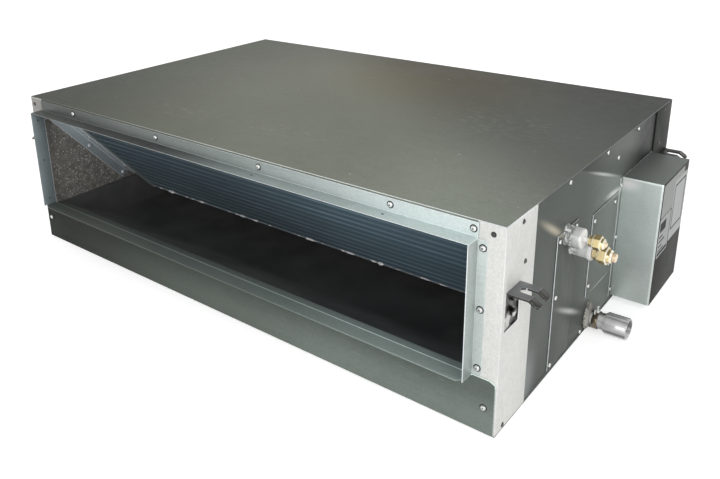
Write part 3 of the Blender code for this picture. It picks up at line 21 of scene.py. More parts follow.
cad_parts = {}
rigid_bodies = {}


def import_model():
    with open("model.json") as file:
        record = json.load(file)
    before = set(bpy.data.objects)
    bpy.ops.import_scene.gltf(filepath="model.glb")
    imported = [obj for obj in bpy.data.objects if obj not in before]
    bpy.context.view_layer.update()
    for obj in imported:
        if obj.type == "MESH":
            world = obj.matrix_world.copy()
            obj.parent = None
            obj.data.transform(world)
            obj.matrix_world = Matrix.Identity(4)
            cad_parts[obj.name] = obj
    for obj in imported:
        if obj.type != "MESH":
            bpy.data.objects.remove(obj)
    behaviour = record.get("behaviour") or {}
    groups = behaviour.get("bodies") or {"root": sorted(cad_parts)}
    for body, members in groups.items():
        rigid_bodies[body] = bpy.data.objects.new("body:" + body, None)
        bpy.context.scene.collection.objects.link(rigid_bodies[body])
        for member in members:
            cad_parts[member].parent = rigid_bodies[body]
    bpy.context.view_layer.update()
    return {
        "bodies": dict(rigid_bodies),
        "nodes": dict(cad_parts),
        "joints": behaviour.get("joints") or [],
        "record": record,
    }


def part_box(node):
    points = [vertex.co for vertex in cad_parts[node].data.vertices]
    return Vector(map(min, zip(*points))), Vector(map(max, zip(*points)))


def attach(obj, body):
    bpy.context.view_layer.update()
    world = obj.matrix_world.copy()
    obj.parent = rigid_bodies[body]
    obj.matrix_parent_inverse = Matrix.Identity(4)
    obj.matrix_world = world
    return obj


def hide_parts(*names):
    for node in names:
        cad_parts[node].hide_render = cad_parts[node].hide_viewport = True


LOG = logging.getLogger("scene")
BODY = "casing"
SHEET = 0.0015
EDGE_OF_SHEET = 0.0021
LIFT = 0.0001
SHARP = 35.0

Colour = tuple[float, float, float]
Point = tuple[float, float, float]
Place = tuple[float, float]
Profile = Sequence[Place]
Press = Callable[[float, float, float], float]

ALONG_X = (1.0, 0.0, 0.0)
ALONG_Y = (0.0, 1.0, 0.0)
ALONG_Z = (0.0, 0.0, 1.0)
ACROSS_LID = (0.63, 0.78, 0.0)
ALONG_SLANT = (0.0, 0.338, 0.941)
LENGTHWAYS = (1.0, 14.0, 14.0)
CROSSWAYS = (14.0, 1.0, 14.0)
UPRIGHT = (20.0, 20.0, 2.0)


class Axis(Enum):
    """The way a turned shape points."""

    RIGHT = (1.0, 0.0, 0.0)
    LEFT = (-1.0, 0.0, 0.0)
    FRONT = (0.0, -1.0, 0.0)
    REAR = (0.0, 1.0, 0.0)
    UP = (0.0, 0.0, 1.0)


class Kind(Enum):
    """The blend formula that a mix node uses."""

    MIX = "MIX"
    MULTIPLY = "MULTIPLY"


@dataclass(frozen=True, eq=False)
class Signal:
    """A shader value that takes part in ordinary Python arithmetic."""

    tree: bpy.types.NodeTree
    socket: bpy.types.NodeSocket

    def maths(self, operation: str, *others: Signal | float, clamp: bool = False) -> Signal:
        """Put the value through a maths node.

        Args:
            operation: The node's operation.
            others: What fills the node's next sockets.
            clamp: Whether the result is held between 0 and 1.

        Returns:
            The node's result.
        """
        values = dict(enumerate((self, *others)))
        node = add_node(self.tree, "ShaderNodeMath", {"operation": operation, "use_clamp": clamp}, values)
        return Signal(self.tree, node.outputs[0])

    def __add__(self, other: Signal | float) -> Signal:
        """The sum with another value, on either side of it."""
        return self.maths("ADD", other)

    def __sub__(self, other: Signal | float) -> Signal:
        """The value less another."""
        return self.maths("SUBTRACT", other)

    def __rsub__(self, other: float) -> Signal:
        """A number less the value."""
        return (self * -1.0) + other

    def __mul__(self, other: Signal | float) -> Signal:
        """The product with another value, on either side of it."""
        return self.maths("MULTIPLY", other)

    def __pow__(self, other: float) -> Signal:
        """The value to a power."""
        return self.maths("POWER", other)

    def __abs__(self) -> Signal:
        """The value without its sign."""
        return self.maths("ABSOLUTE")

    __radd__ = __add__
    __rmul__ = __mul__

    def sine(self) -> Signal:
        """The sine of the value in radians."""
        return self.maths("SINE")

    def clamped(self) -> Signal:
        """The value held between 0 and 1."""
        return self.maths("ADD", 0.0, clamp=True)

    def between(self, low: float, high: float) -> Signal:
        """A smooth step from 0 to 1.

        Args:
            low: The value at which the result is 0.
            high: The value at which the result is 1; it may be under low.

        Returns:
            The stepped value.
        """
        node = add_node(
            self.tree,
            "ShaderNodeMapRange",
            {"interpolation_type": "SMOOTHSTEP"},
            {"Value": self, "From Min": low, "From Max": high},
        )
        return Signal(self.tree, node.outputs["Result"])


def add_node(
    tree: bpy.types.NodeTree,
    kind: str,
    settings: dict[str, object],
    sockets: dict[str | int, Signal | float | tuple],
) -> bpy.types.Node:
    """Add a shader node.

    Args:
        tree: The node tree that it joins.
        kind: The node's type.
        settings: The node's own settings, which are set first.
        sockets: A link or a value for each socket, by its name or its place.

    Returns:
        The new node.
    """
    node = tree.nodes.new(kind)
    for name, value in settings.items():
        setattr(node, name, value)
    for key, value in sockets.items():
        if isinstance(value, Signal):
            tree.links.new(value.socket, node.inputs[key])
        else:
            node.inputs[key].default_value = value
    return node


def seen_white(tree: bpy.types.NodeTree) -> Signal:
    """Tell what is only looked at from the light that falls on the object.

    Args:
        tree: The node tree that it joins.

    Returns:
        1 for rays that the camera, a mirror or a glass sends, and 0 for the others.
    """
    path = add_node(tree, "ShaderNodeLightPath", {}, {})
    camera, glossy, through = (
        Signal(tree, path.outputs[f"Is {name} Ray"]) for name in ("Camera", "Glossy", "Transmission")
    )
    return (camera + glossy + through).clamped()


class Graph:
    """A material's node tree with short words for the textures that the finishes use."""

    def __init__(self, name: str) -> None:
        """Start a material.

        Args:
            name: Its name.
        """
        self.material = bpy.data.materials.new(name)
        self.material.use_nodes = True
        self.tree = self.material.node_tree
        self.shader = self.tree.nodes["Principled BSDF"]
        self.place = self.signal("ShaderNodeTexCoord", {}, {}, "Object")

    def signal(
        self,
        kind: str,
        settings: dict[str, object],
        sockets: dict[str | int, Signal | float | tuple],
        output: str,
    ) -> Signal:
        """Add a node and return one of its outputs."""
        return Signal(self.tree, add_node(self.tree, kind, settings, sockets).outputs[output])

    def stretched(self, stretch: Point, turn: float = 0.0) -> Signal:
        """Object coordinates scaled along each axis after a turn about X, in radians."""
        sockets = {"Vector": self.place, "Scale": stretch, "Rotation": (turn, 0.0, 0.0)}
        return self.signal("ShaderNodeMapping", {}, sockets, "Vector")

    def along(self, way: Point) -> Signal:
        """How far a place lies along a direction, in metres."""
        sockets = {0: self.place, 1: way}
        return self.signal("ShaderNodeVectorMath", {"operation": "DOT_PRODUCT"}, sockets, "Value")

    def noise(
        self,
        scale: float,
        detail: float = 2.0,
        stretch: Point = (1.0, 1.0, 1.0),
        turn: float = 0.0,
    ) -> Signal:
        """Fractal noise of mean 0.5, with scale in features per metre."""
        sockets = {"Vector": self.stretched(stretch, turn), "Scale": scale, "Detail": detail}
        return self.signal("ShaderNodeTexNoise", {}, sockets, "Fac")

    def cells(self, scale: float) -> tuple[Signal, Signal]:
        """Scatter points and divide space between them.

        Args:
            scale: Points per metre.

        Returns:
            The distance to the nearest point, and a random value for each point's cell.
        """
        node = add_node(self.tree, "ShaderNodeTexVoronoi", {}, {"Vector": self.place, "Scale": scale})
        colour = Signal(self.tree, node.outputs["Color"])
        chance = self.signal("ShaderNodeSeparateColor", {}, {"Color": colour}, "Red")
        return Signal(self.tree, node.outputs["Distance"]), chance

    def near(self, centre: Point, size: Point, lean: float = 0.0) -> Signal:
        """Mark a soft spot.

        Args:
            centre: Its middle.
            size: Its half-lengths.
            lean: Its turn about X, in radians.

        Returns:
            1 in the middle, falling smoothly to 0 on the ellipsoid.
        """
        sockets = {"Vector": self.place, "Location": centre, "Rotation": (lean, 0.0, 0.0), "Scale": size}
        spot = self.signal("ShaderNodeMapping", {"vector_type": "TEXTURE"}, sockets, "Vector")
        reach = self.signal("ShaderNodeVectorMath", {"operation": "LENGTH"}, {0: spot}, "Value")
        return reach.between(1.0, 0.0) ** 1.4

    def mix(
        self,
        share: Signal | float,
        low: Signal | Colour,
        high: Signal | Colour,
        kind: Kind = Kind.MIX,
    ) -> Signal:
        """Blend two colours.

        Args:
            share: How much the second one counts.
            low: The first colour.
            high: The second colour.
            kind: The blend formula.

        Returns:
            The blended colour.
        """
        sockets = {
            "Factor": share,
            "A": low if isinstance(low, Signal) else (*low, 1.0),
            "B": high if isinstance(high, Signal) else (*high, 1.0),
        }
        settings = {"data_type": "RGBA", "blend_type": kind.value}
        return self.signal("ShaderNodeMix", settings, sockets, "Result")

    def set(self, name: str, value: Signal | float | Colour) -> None:
        """Link a signal to one of the shader's inputs, or store a constant there.

        Args:
            name: The input's name.
            value: What goes there.
        """
        slot = self.shader.inputs[name]
        if isinstance(value, Signal):
            self.tree.links.new(value.socket, slot)
        elif isinstance(value, tuple):
            slot.default_value = (*value, 1.0)
        else:
            slot.default_value = value

    def bump(self, height: Signal, distance: float, strength: float = 1.0) -> None:
        """Drive the shader's normal from a height in units of distance, in metres."""
        sockets = {"Strength": strength, "Distance": distance, "Height": height}
        self.set("Normal", self.signal("ShaderNodeBump", {}, sockets, "Normal"))


@dataclass(frozen=True)
class Finish:
    """A surface with faint clouding, so that nothing is perfectly even."""

    name: str
    colour: Colour
    roughness: float
    metallic: float = 0.0
    clouding: float = 0.10
    grain: float = 0.0
    coat: float = 0.0
    gloss: float = 0.5

    @property
    def label(self) -> str:
        """The material's name, which no material of the part has."""
        return f"look_{self.name}"

    def material(self) -> bpy.types.Material:
        """Give the finish's material, which is made the first time it is asked for.

        Returns:
            The material.
        """
        made = bpy.data.materials.get(self.label)
        if made:
            return made
        graph = Graph(self.label)
        graph.set("Roughness", self.roughness)
        graph.set("Metallic", self.metallic)
        graph.set("Coat Weight", self.coat)
        graph.set("Specular IOR Level", self.gloss)
        self.paint(graph)
        return graph.material

    def paint(self, graph: Graph) -> None:
        """Add what varies over the surface.

        Args:
            graph: The material's graph.
        """
        cloud = graph.noise(14.0, 4.0)
        dark = tuple(channel * (1.0 - self.clouding) for channel in self.colour)
        light = tuple(min(channel * (1.0 + self.clouding), 1.0) for channel in self.colour)
        graph.set("Base Color", graph.mix(cloud.between(0.3, 0.7), dark, light))
        graph.set("Roughness", self.roughness + (graph.noise(45.0, 3.0) - 0.5) * 0.12)
        if self.grain:
            graph.bump(graph.noise(900.0, 2.0), self.grain)


@dataclass(frozen=True)
class PaintedLight:
    """A painted light or shade that a surface takes on gradually between two places along a direction."""

    way: Point
    start: float
    end: float
    factor: Colour

    def over(self, graph: Graph, base: Signal) -> Signal:
        """The base colour with the painted light or shade on it."""
        share = graph.along(self.way).between(self.start, self.end)
        return graph.mix(share, base, self.factor, Kind.MULTIPLY)


@dataclass(frozen=True)
class Patch:
    """A soft spot or a leaning streak on a sheet: where even, a painted highlight, reflection or shade;
    where patchy, a scuff.
    """

    centre: Point
    size: Point
    colour: Colour
    share: float
    patchy: bool = False
    kind: Kind = Kind.MIX
    lean: float = 0.0


@dataclass(frozen=True)
class SheetSteel(Finish):
    """Zinc coated sheet: soft spangle, rolling streaks, hairline scratches, specks and scuffed spots, with
    painted light and shade laid on in ramps and soft patches.
    """

    scratches: float = 0.20
    specks: float = 0.0
    streak: Point = LENGTHWAYS
    wave: float = 0.0006
    painted_light: tuple[PaintedLight, ...] = ()
    patches: tuple[Patch, ...] = ()
    scratch_colour: Colour = (0.55, 0.57, 0.54)
    speck_colour: Colour = (0.62, 0.64, 0.60)

    def paint(self, graph: Graph) -> None:
        """Add what varies over the surface.

        Args:
            graph: The material's graph.
        """
        spangle = graph.cells(70.0)[1]
        cloud = graph.noise(5.0, 4.0)
        streak = graph.noise(22.0, 4.0, self.streak)
        fine = graph.noise(330.0, 2.0)
        tone = 1.0 + (spangle - 0.5) * 0.05 + (cloud - 0.5) * (self.clouding * 3.0)
        tone = tone + (streak - 0.5) * 0.14 + (fine - 0.5) * 0.30
        base = graph.mix(1.0, self.colour, tone, Kind.MULTIPLY)
        # Painted light and shade, ramped along a direction.
        for ramp in self.painted_light:
            base = ramp.over(graph, base)
        rough = self.roughness + (cloud - 0.5) * 0.18 + (spangle - 0.5) * 0.05
        if self.scratches:
            lines = graph.noise(16.0, 1.0, (2.0, 60.0, 26.0), 0.5).between(0.700, 0.735)
            scratch = lines * graph.noise(4.0, 2.0).between(0.52, 0.62) * self.scratches
            base = graph.mix(scratch, base, self.scratch_colour)
            rough = rough + scratch * 0.2
        if self.specks:
            distance, chance = graph.cells(61.0)
            speck = chance.between(0.88, 0.90) * distance.between(0.15, 0.07) * self.specks
            speck = speck * graph.noise(3.0, 2.0).between(0.40, 0.60)
            base = graph.mix(speck, base, self.speck_colour)
        # Even patches are painted highlights, reflections or shade; patchy ones are scuffs that also roughen
        # the sheet.
        for patch in self.patches:
            spread = graph.near(patch.centre, patch.size, patch.lean)
            if patch.patchy:
                spread = spread * graph.noise(58.0, 6.0, (1.0, 2.4, 1.0)).between(0.50, 0.68)
                rough = rough + spread * 0.2
            base = graph.mix(spread * patch.share, base, patch.colour, patch.kind)
        graph.set("Base Color", base)
        graph.set("Roughness", rough.clamped())
        graph.bump(graph.noise(7.0, 2.0) * 0.8 + fine * 0.02, self.wave, 0.5)


@dataclass(frozen=True)
class CrinkledFoil(Finish):
    """Foil pressed over foam: small dents with painted glints, over a coarse darker mottle."""

    cell: float = 330.0
    painted_glint: Colour = (1.0, 0.98, 0.93)

    def paint(self, graph: Graph) -> None:
        """Add what varies over the surface.

        Args:
            graph: The material's graph.
        """
        distance, chance = graph.cells(self.cell)
        coarse = graph.noise(90.0, 5.0)
        dark = tuple(channel * 0.60 for channel in self.colour)
        body = graph.mix(coarse.between(0.30, 0.70), dark, self.colour)
        # Painted glints: small bright spots in a few cells, where the dents would catch the light.
        spark = chance.between(0.84, 0.90) * distance.between(0.72, 0.25)
        graph.set("Base Color", graph.mix(spark, body, self.painted_glint))
        graph.set("Roughness", 0.62 - spark * 0.30)
        graph.bump(distance * 0.7 + coarse * 1.4, 0.0012)


@dataclass(frozen=True)
class WrinkledTape(Finish):
    """Metallised tape, crumpled at the root of the pipe and smooth further out, with painted shade in its
    creases.
    """

    crease: float = 0.0010
    smooth_from: float = 0.5045
    crumpled_to: float = 0.4975
    fold_shade: Colour = (0.10, 0.11, 0.11)

    def paint(self, graph: Graph) -> None:
        """Add what varies over the surface.

        Args:
            graph: The material's graph.
        """
        root = graph.along(ALONG_X).between(self.smooth_from, self.crumpled_to) * 0.92 + 0.08
        fold = abs(graph.noise(150.0, 3.0, (1.6, 0.7, 0.7)) - 0.5) * 4.0
        # Painted shade in the creases, strongest at the root.
        shadow = (1.0 - fold.clamped()) * root * 0.75
        graph.set("Base Color", graph.mix(shadow, self.colour, self.fold_shade))
        graph.bump(fold * root, self.crease)


@dataclass(frozen=True)
class FinMetal(Finish):
    """Blue coated fins: a painted highlight along each row of tubes, broken up by patchy noise, with painted
    light and shade in ramps, and chips.
    """

    foot: tuple[float, float] = (0.0, 0.0)
    tilt: float = 0.0
    step: float = 0.02
    pale: Colour = (0.5, 0.5, 0.5)
    chip: Colour = (0.62, 0.70, 0.74)
    painted_light: tuple[PaintedLight, ...] = ()

    def paint(self, graph: Graph) -> None:
        """Add what varies over the surface.

        Args:
            graph: The material's graph.
        """
        rise = (0.0, -math.sin(self.tilt), math.cos(self.tilt))
        up = graph.along(rise) - (self.foot[0] * rise[1] + self.foot[1] * rise[2])
        # Painted highlight: a pale stripe along each row of tubes, where the rippled fins would catch the
        # light.
        row = (up * (math.tau / self.step)).sine().between(0.62, 1.0)
        patchy = graph.noise(7.0, 5.0, (1.0, 5.0, 9.0)).between(0.35, 0.75)
        chips = graph.noise(85.0, 2.0, (1.0, 1.0, 3.0)).between(0.70, 0.76) * 0.5
        base = graph.mix(row * (0.35 + patchy * 0.65), self.colour, self.pale)
        for ramp in self.painted_light:
            base = ramp.over(graph, base)
        graph.set("Base Color", graph.mix(chips, base, self.chip))


@dataclass(frozen=True)
class Streaked(Finish):
    """A moulded tube with light and dark streaks that run along it, painted reflections of a glossy tube."""

    pale: Colour = (0.7, 0.7, 0.7)

    def paint(self, graph: Graph) -> None:
        """Add what varies over the surface.

        Args:
            graph: The material's graph.
        """
        # Painted reflections: pale and dark streaks along the tube.
        streak = graph.noise(85.0, 2.0, (0.03, 1.0, 1.0))
        graph.set("Base Color", graph.mix(streak.between(0.38, 0.62), self.colour, self.pale))


@dataclass(frozen=True)
class Mottled(Finish):
    """Dark plated steel broken up by pale blotches, painted reflections."""

    pale: Colour = (0.6, 0.6, 0.6)
    scale: float = 75.0
    share: float = 0.8

    def paint(self, graph: Graph) -> None:
        """Add what varies over the surface.

        Args:
            graph: The material's graph.
        """
        # Painted reflections: pale blotches over the dark plating.
        blotch = graph.noise(self.scale, 3.0).between(0.52, 0.62)
        graph.set("Base Color", graph.mix(blotch * self.share, self.colour, self.pale))
        graph.set("Roughness", self.roughness + (graph.noise(45.0, 3.0) - 0.5) * 0.15)
        graph.bump(graph.noise(60.0, 2.0), 0.0004)


@dataclass(frozen=True)
class Paper(Finish):
    """A pale blank sticker: slightly warm paper with faint soiling."""

    soiled: Colour = (0.42, 0.42, 0.40)

    def paint(self, graph: Graph) -> None:
        """Add what varies over the surface.

        Args:
            graph: The material's graph.
        """
        soil = graph.noise(30.0, 5.0).between(0.42, 0.85) * 0.30
        graph.set("Base Color", graph.mix(soil, self.colour, self.soiled))
        graph.bump(graph.noise(40.0, 3.0), 0.0003, 0.4)


@dataclass(frozen=True)
class CoilSize:
    """The finned block: where its foot lies, how it leans, and what it is divided into."""

    foot: tuple[float, float] = (-0.1030035, 0.044)
    tilt: float = math.radians(42)
    length: float = 0.25744
    thickness: float = 0.062
    half: float = 0.432
    pitch: float = 0.0022
    tubes: int = 12
    rows: int = 3
    ripple: float = 0.0015
    fin: float = 0.0005

    @property
    def step(self) -> float:
        """The distance between two tubes up the coil."""
        return self.length / self.tubes


COIL = CoilSize()


@dataclass(frozen=True)
class Palette:
    """Every finish of the object."""

    lid: SheetSteel = SheetSteel(
        "lid_steel", (0.232, 0.244, 0.200), 0.48, 0.15, 0.07, gloss=0.10, scratches=0.26, specks=0.5,
        # Painted light and shade: darker towards the front-left and towards the rear-right, lighter at the
        # right end.
        painted_light=(
            PaintedLight(ACROSS_LID, -0.12, -0.56, (0.48, 0.49, 0.48)),
            PaintedLight(ALONG_X, -0.10, -0.50, (0.68, 0.69, 0.68)),
            PaintedLight(ACROSS_LID, 0.01, 0.26, (0.47, 0.47, 0.48)),
            PaintedLight(ACROSS_LID, 0.22, 0.54, (0.38, 0.38, 0.39)),
            PaintedLight(ALONG_X, 0.15, 0.45, (1.16, 1.20, 1.26)),
        ),
        patches=(
            # A painted warm reflection at the rear; the patchy spots are scuffs.
            Patch((0.08, 0.22, 0.29), (0.42, 0.32, 0.12), (1.08, 0.93, 0.74), 1.0, kind=Kind.MULTIPLY),
            Patch((-0.17, -0.225, 0.29), (0.16, 0.060, 0.06), (0.36, 0.36, 0.33), 0.45, True),
            Patch((0.04, -0.205, 0.29), (0.20, 0.080, 0.06), (0.36, 0.36, 0.33), 0.45, True),
            Patch((0.30, 0.02, 0.29), (0.24, 0.16, 0.06), (0.34, 0.33, 0.29), 0.40, True),
        ),
    )
    lid_edge: SheetSteel = SheetSteel(
        "lid_edge_steel", (0.20, 0.21, 0.19), 0.45, 0.10, gloss=0.15, scratches=0.0,
        # Painted highlight along the rounded edges, brighter towards the right and dark again towards the
        # rear.
        painted_light=(
            PaintedLight(ALONG_X, -0.42, 0.25, (4.2, 4.2, 4.6)),
            PaintedLight(ALONG_Y, -0.275, -0.215, (0.22, 0.22, 0.22)),
        ),
    )
    panel: SheetSteel = SheetSteel("panel_steel", (0.215, 0.235, 0.220), 0.40, 0.55, 0.12, streak=CROSSWAYS)
    end_panel: SheetSteel = SheetSteel(
        "pipe_end_steel", (0.108, 0.120, 0.110), 0.44, 0.06, 0.08, gloss=0.06, scratches=0.06,
        streak=CROSSWAYS, wave=0.0002,
        # Painted light and shade: lighter near the control box, dark towards the rear and lower down, and
        # darker above a slanted line near the top.
        painted_light=(
            PaintedLight(ALONG_Y, -0.085, 0.06, (2.15, 2.15, 2.15)),
            PaintedLight(ALONG_Y, 0.085, 0.20, (0.17, 0.17, 0.17)),
            PaintedLight(ALONG_Z, 0.12, 0.0, (0.80, 0.80, 0.80)),
            PaintedLight(ALONG_SLANT, 0.2352, 0.2390, (0.56, 0.56, 0.56)),
        ),
        # Painted reflections of the sleeve and the spout, painted highlights near the top and along the
        # access cover's lower edge, and a broad painted highlight low at the front.
        patches=(
            Patch((0.489, -0.176, 0.2280), (0.02, 0.085, 0.0100), (0.70, 0.63, 0.50), 0.75, lean=-0.55),
            Patch((0.489, -0.098, 0.0700), (0.02, 0.085, 0.0080), (0.74, 0.75, 0.72), 0.75, lean=-0.50),
            Patch((0.489, 0.058, 0.2020), (0.02, 0.060, 0.0100), (0.95, 0.96, 0.93), 0.80, lean=-0.10),
            Patch((0.4895, 0.030, 0.0625), (0.02, 0.060, 0.0016), (0.90, 0.92, 0.92), 1.0),
            Patch((0.489, 0.002, 0.2500), (0.02, 0.100, 0.0045), (0.60, 0.63, 0.61), 0.95, lean=-0.345),
            Patch((0.489, -0.235, 0.0300), (0.02, 0.045, 0.0900), (0.30, 0.32, 0.32), 0.80),
        ),
    )
    apron: SheetSteel = SheetSteel(
        # The dark base and these ramps paint light and shade: very dark at the left, lighter to the right,
        # darker towards the top.
        "apron_steel", (0.0165, 0.0200, 0.0155), 0.50, 0.05, 0.10, gloss=0.05, scratches=0.12,
        painted_light=(
            PaintedLight(ALONG_X, -0.46, 0.05, (8.6, 8.2, 9.2)),
            PaintedLight(ALONG_X, 0.00, 0.25, (1.50, 1.50, 1.56)),
            PaintedLight(ALONG_Z, 0.015, 0.070, (0.60, 0.60, 0.61)),
        ),
    )
    apron_leg: SheetSteel = SheetSteel(
        "apron_leg_steel", (0.098, 0.112, 0.100), 0.44, 0.35, 0.10, scratches=0.08,
        # Painted light, lighter towards the right, and a painted highlight along the leg's inner edge.
        painted_light=(
            PaintedLight(ALONG_X, -0.42, 0.05, (1.7, 1.75, 1.8)),
            PaintedLight(ALONG_X, 0.00, 0.40, (2.1, 2.15, 2.2)),
        ),
        patches=(
            Patch((0.0, -0.3264, 0.082), (9.0, 0.0022, 0.02), (3.0, 3.0, 3.0), 1.0, kind=Kind.MULTIPLY),
        ),
    )
    flange: SheetSteel = SheetSteel(
        "flange_steel", (0.060, 0.068, 0.063), 0.40, 0.45, 0.08, scratches=0.10,
        # Painted light: dark at the left, much lighter towards the right.
        painted_light=(
            PaintedLight(ALONG_X, -0.46, 0.00, (3.6, 3.6, 3.7)),
            PaintedLight(ALONG_X, -0.05, 0.40, (2.40, 2.40, 2.48)),
        ),
    )
    flange_leg: SheetSteel = SheetSteel(
        "flange_leg_steel", (0.080, 0.088, 0.080), 0.42, 0.45, 0.10, scratches=0.10,
        # Painted light and shade: darker near the left, very much lighter towards the right.
        painted_light=(
            PaintedLight(ALONG_X, -0.40, -0.24, (0.56, 0.58, 0.62)),
            PaintedLight(ALONG_X, -0.14, 0.22, (9.4, 9.6, 9.6)),
            PaintedLight(ALONG_X, 0.20, 0.44, (1.7, 1.7, 1.7)),
        ),
    )
    # Painted highlight on cut and rounded sheet edges, brighter towards the right.
    rim: SheetSteel = SheetSteel(
        "cut_edge_steel", (0.22, 0.235, 0.23), 0.36, 0.15, scratches=0.0,
        painted_light=(PaintedLight(ALONG_X, -0.42, 0.40, (3.8, 3.8, 3.95)),),
    )
    bright: SheetSteel = SheetSteel("bright_steel", (0.47, 0.52, 0.505), 0.38, 0.55, 0.08, scratches=0.10)
    strip: SheetSteel = SheetSteel("strip_steel", (0.50, 0.56, 0.59), 0.40, 0.40, 0.12, scratches=0.10)
    # A darker copy of the bright steel for the left outlet flange, painted shade.
    end_steel: SheetSteel = SheetSteel("end_steel", (0.34, 0.40, 0.42), 0.42, 0.40, 0.12, scratches=0.10)
    box: SheetSteel = SheetSteel(
        "box_steel", (0.64, 0.71, 0.69), 0.42, 0.35, 0.08, scratches=0.0,
        # Painted light and shade: darker towards the outer side and the bottom, with painted highlights
        # along the top and outer edges and near the top corner.
        painted_light=(
            PaintedLight(ALONG_X, 0.490, 0.545, (0.70, 0.70, 0.70)),
            PaintedLight(ALONG_Z, 0.15, 0.03, (0.94, 0.93, 0.92)),
            PaintedLight(ALONG_Z, 0.2150, 0.2172, (1.60, 1.60, 1.60)),
            PaintedLight(ALONG_X, 0.5478, 0.5494, (1.60, 1.58, 1.58)),
        ),
        patches=(Patch((0.499, 0.088, 0.210), (0.030, 0.03, 0.019), (1.0, 1.0, 1.0), 0.95),),
    )
    # The box's top and outer side take darker copies of the cover's steel, painted shade.
    box_top: SheetSteel = SheetSteel(
        "box_top_steel", (0.165, 0.182, 0.170), 0.45, 0.25, 0.10, gloss=0.2, scratches=0.05,
    )
    box_side: SheetSteel = SheetSteel(
        "box_side_steel", (0.040, 0.042, 0.037), 0.55, 0.0, 0.08, gloss=0.05, scratches=0.0, wave=0.0002,
    )
    # Painted highlight for rounded edges; the coil's screws take the same pale finish.
    box_edge: SheetSteel = SheetSteel("box_edge_steel", (0.88, 0.90, 0.96), 0.34, 0.10, scratches=0.0)
    post: SheetSteel = SheetSteel(
        "post_paint", (0.76, 0.76, 0.725), 0.55, 0.0, 0.07, scratches=0.0, streak=UPRIGHT,
        # Painted shade: the left post is darker.
        painted_light=(PaintedLight(ALONG_X, 0.2, -0.3, (0.42, 0.41, 0.40)),),
    )
    # Painted highlight on the posts' rounded edges.
    post_edge: Finish = Finish("post_edge_paint", (0.92, 0.92, 0.95), 0.40)
    # A near-black copy of the steel for the rear right post, painted shade.
    rear: SheetSteel = SheetSteel(
        "rear_post_steel", (0.038, 0.041, 0.037), 0.50, 0.05, 0.10, gloss=0.06, scratches=0.06,
    )
    fork: Finish = Finish("fork_steel", (0.200, 0.203, 0.212), 0.38, 0.40, 0.12, gloss=0.3)
    # Painted highlight on the forks' rounded edges.
    fork_edge: Finish = Finish("fork_edge_steel", (0.90, 0.90, 0.92), 0.30, 0.10)
    fork_tip: Finish = Finish("fork_tip_steel", (0.036, 0.036, 0.032), 0.34, 0.30, 0.20, gloss=0.3)
    # Dark plating whose pale blotches are painted reflections.
    plate: Mottled = Mottled(
        "bolt_plating", (0.04, 0.038, 0.033), 0.28, 0.90, pale=(0.70, 0.69, 0.66), share=0.75,
    )
    screw: Finish = Finish("screw_zinc", (0.80, 0.81, 0.79), 0.28, 0.7, 0.10)
    # Near-black heads of the post screws, painted shade of their dimples.
    dark_screw: Finish = Finish("screw_dull", (0.10, 0.10, 0.10), 0.28, 0.8, 0.15)
    # Painted shade for screw recesses, holes and the shadow rings round screw heads.
    recess: Finish = Finish("recess_dark", (0.02, 0.02, 0.02), 0.60, 0.3)
    seam: Finish = Finish("seam_steel", (0.055, 0.06, 0.058), 0.50, gloss=0.1)
    foil: CrinkledFoil = CrinkledFoil("liner_foil", (0.33, 0.315, 0.285), 0.5, 0.15)
    fins: FinMetal = FinMetal(
        "fin_metal", (0.135, 0.188, 0.224), 0.45, 0.25,
        foot=COIL.foot, tilt=COIL.tilt, step=COIL.step, pale=(0.36, 0.47, 0.53),
        # Painted light and shade: lighter to the right and towards the bottom, and a painted shadow along
        # the top under the flange.
        painted_light=(
            PaintedLight(ALONG_X, -0.15, 0.30, (1.9, 1.95, 1.98)),
            PaintedLight(ALONG_Z, 0.18, 0.06, (1.30, 1.25, 1.22)),
            PaintedLight(ALONG_Z, 0.206, 0.222, (0.30, 0.30, 0.30)),
        ),
    )
    tube: Finish = Finish("coil_copper", (0.42, 0.22, 0.14), 0.38, 0.9)
    copper: Finish = Finish("copper", (0.88, 0.72, 0.52), 0.28, 0.6)
    brass: Finish = Finish("brass", (0.78, 0.64, 0.34), 0.26, 0.65, 0.10)
    # Painted shade for every other flat of the hexagons, and painted highlights for their cut corners.
    brass_dark: Finish = Finish("brass_dark", (0.36, 0.28, 0.12), 0.28, 0.70, 0.15)
    brass_bright: Finish = Finish("brass_bright", (0.98, 0.92, 0.74), 0.24, 0.30, 0.06)
    tape: WrinkledTape = WrinkledTape("silver_tape", (0.93, 0.94, 0.93), 0.32, 0.40)
    bead: Finish = Finish("sealant_bead", (0.95, 1.0, 1.0), 0.20, coat=1.0)
    white_foam: Finish = Finish("white_foam", (0.97, 0.97, 0.96), 0.75, 0.0, 0.03)
    white_tube: Finish = Finish("white_tube", (0.93, 0.94, 0.92), 0.35, 0.0, 0.04)
    pan: Finish = Finish("pan_plastic", (0.088, 0.089, 0.086), 0.42, 0.0, 0.20, 0.00003)
    # Painted highlight on the pan's rounded edges.
    pan_edge: Finish = Finish("pan_edge", (0.20, 0.205, 0.20), 0.35)
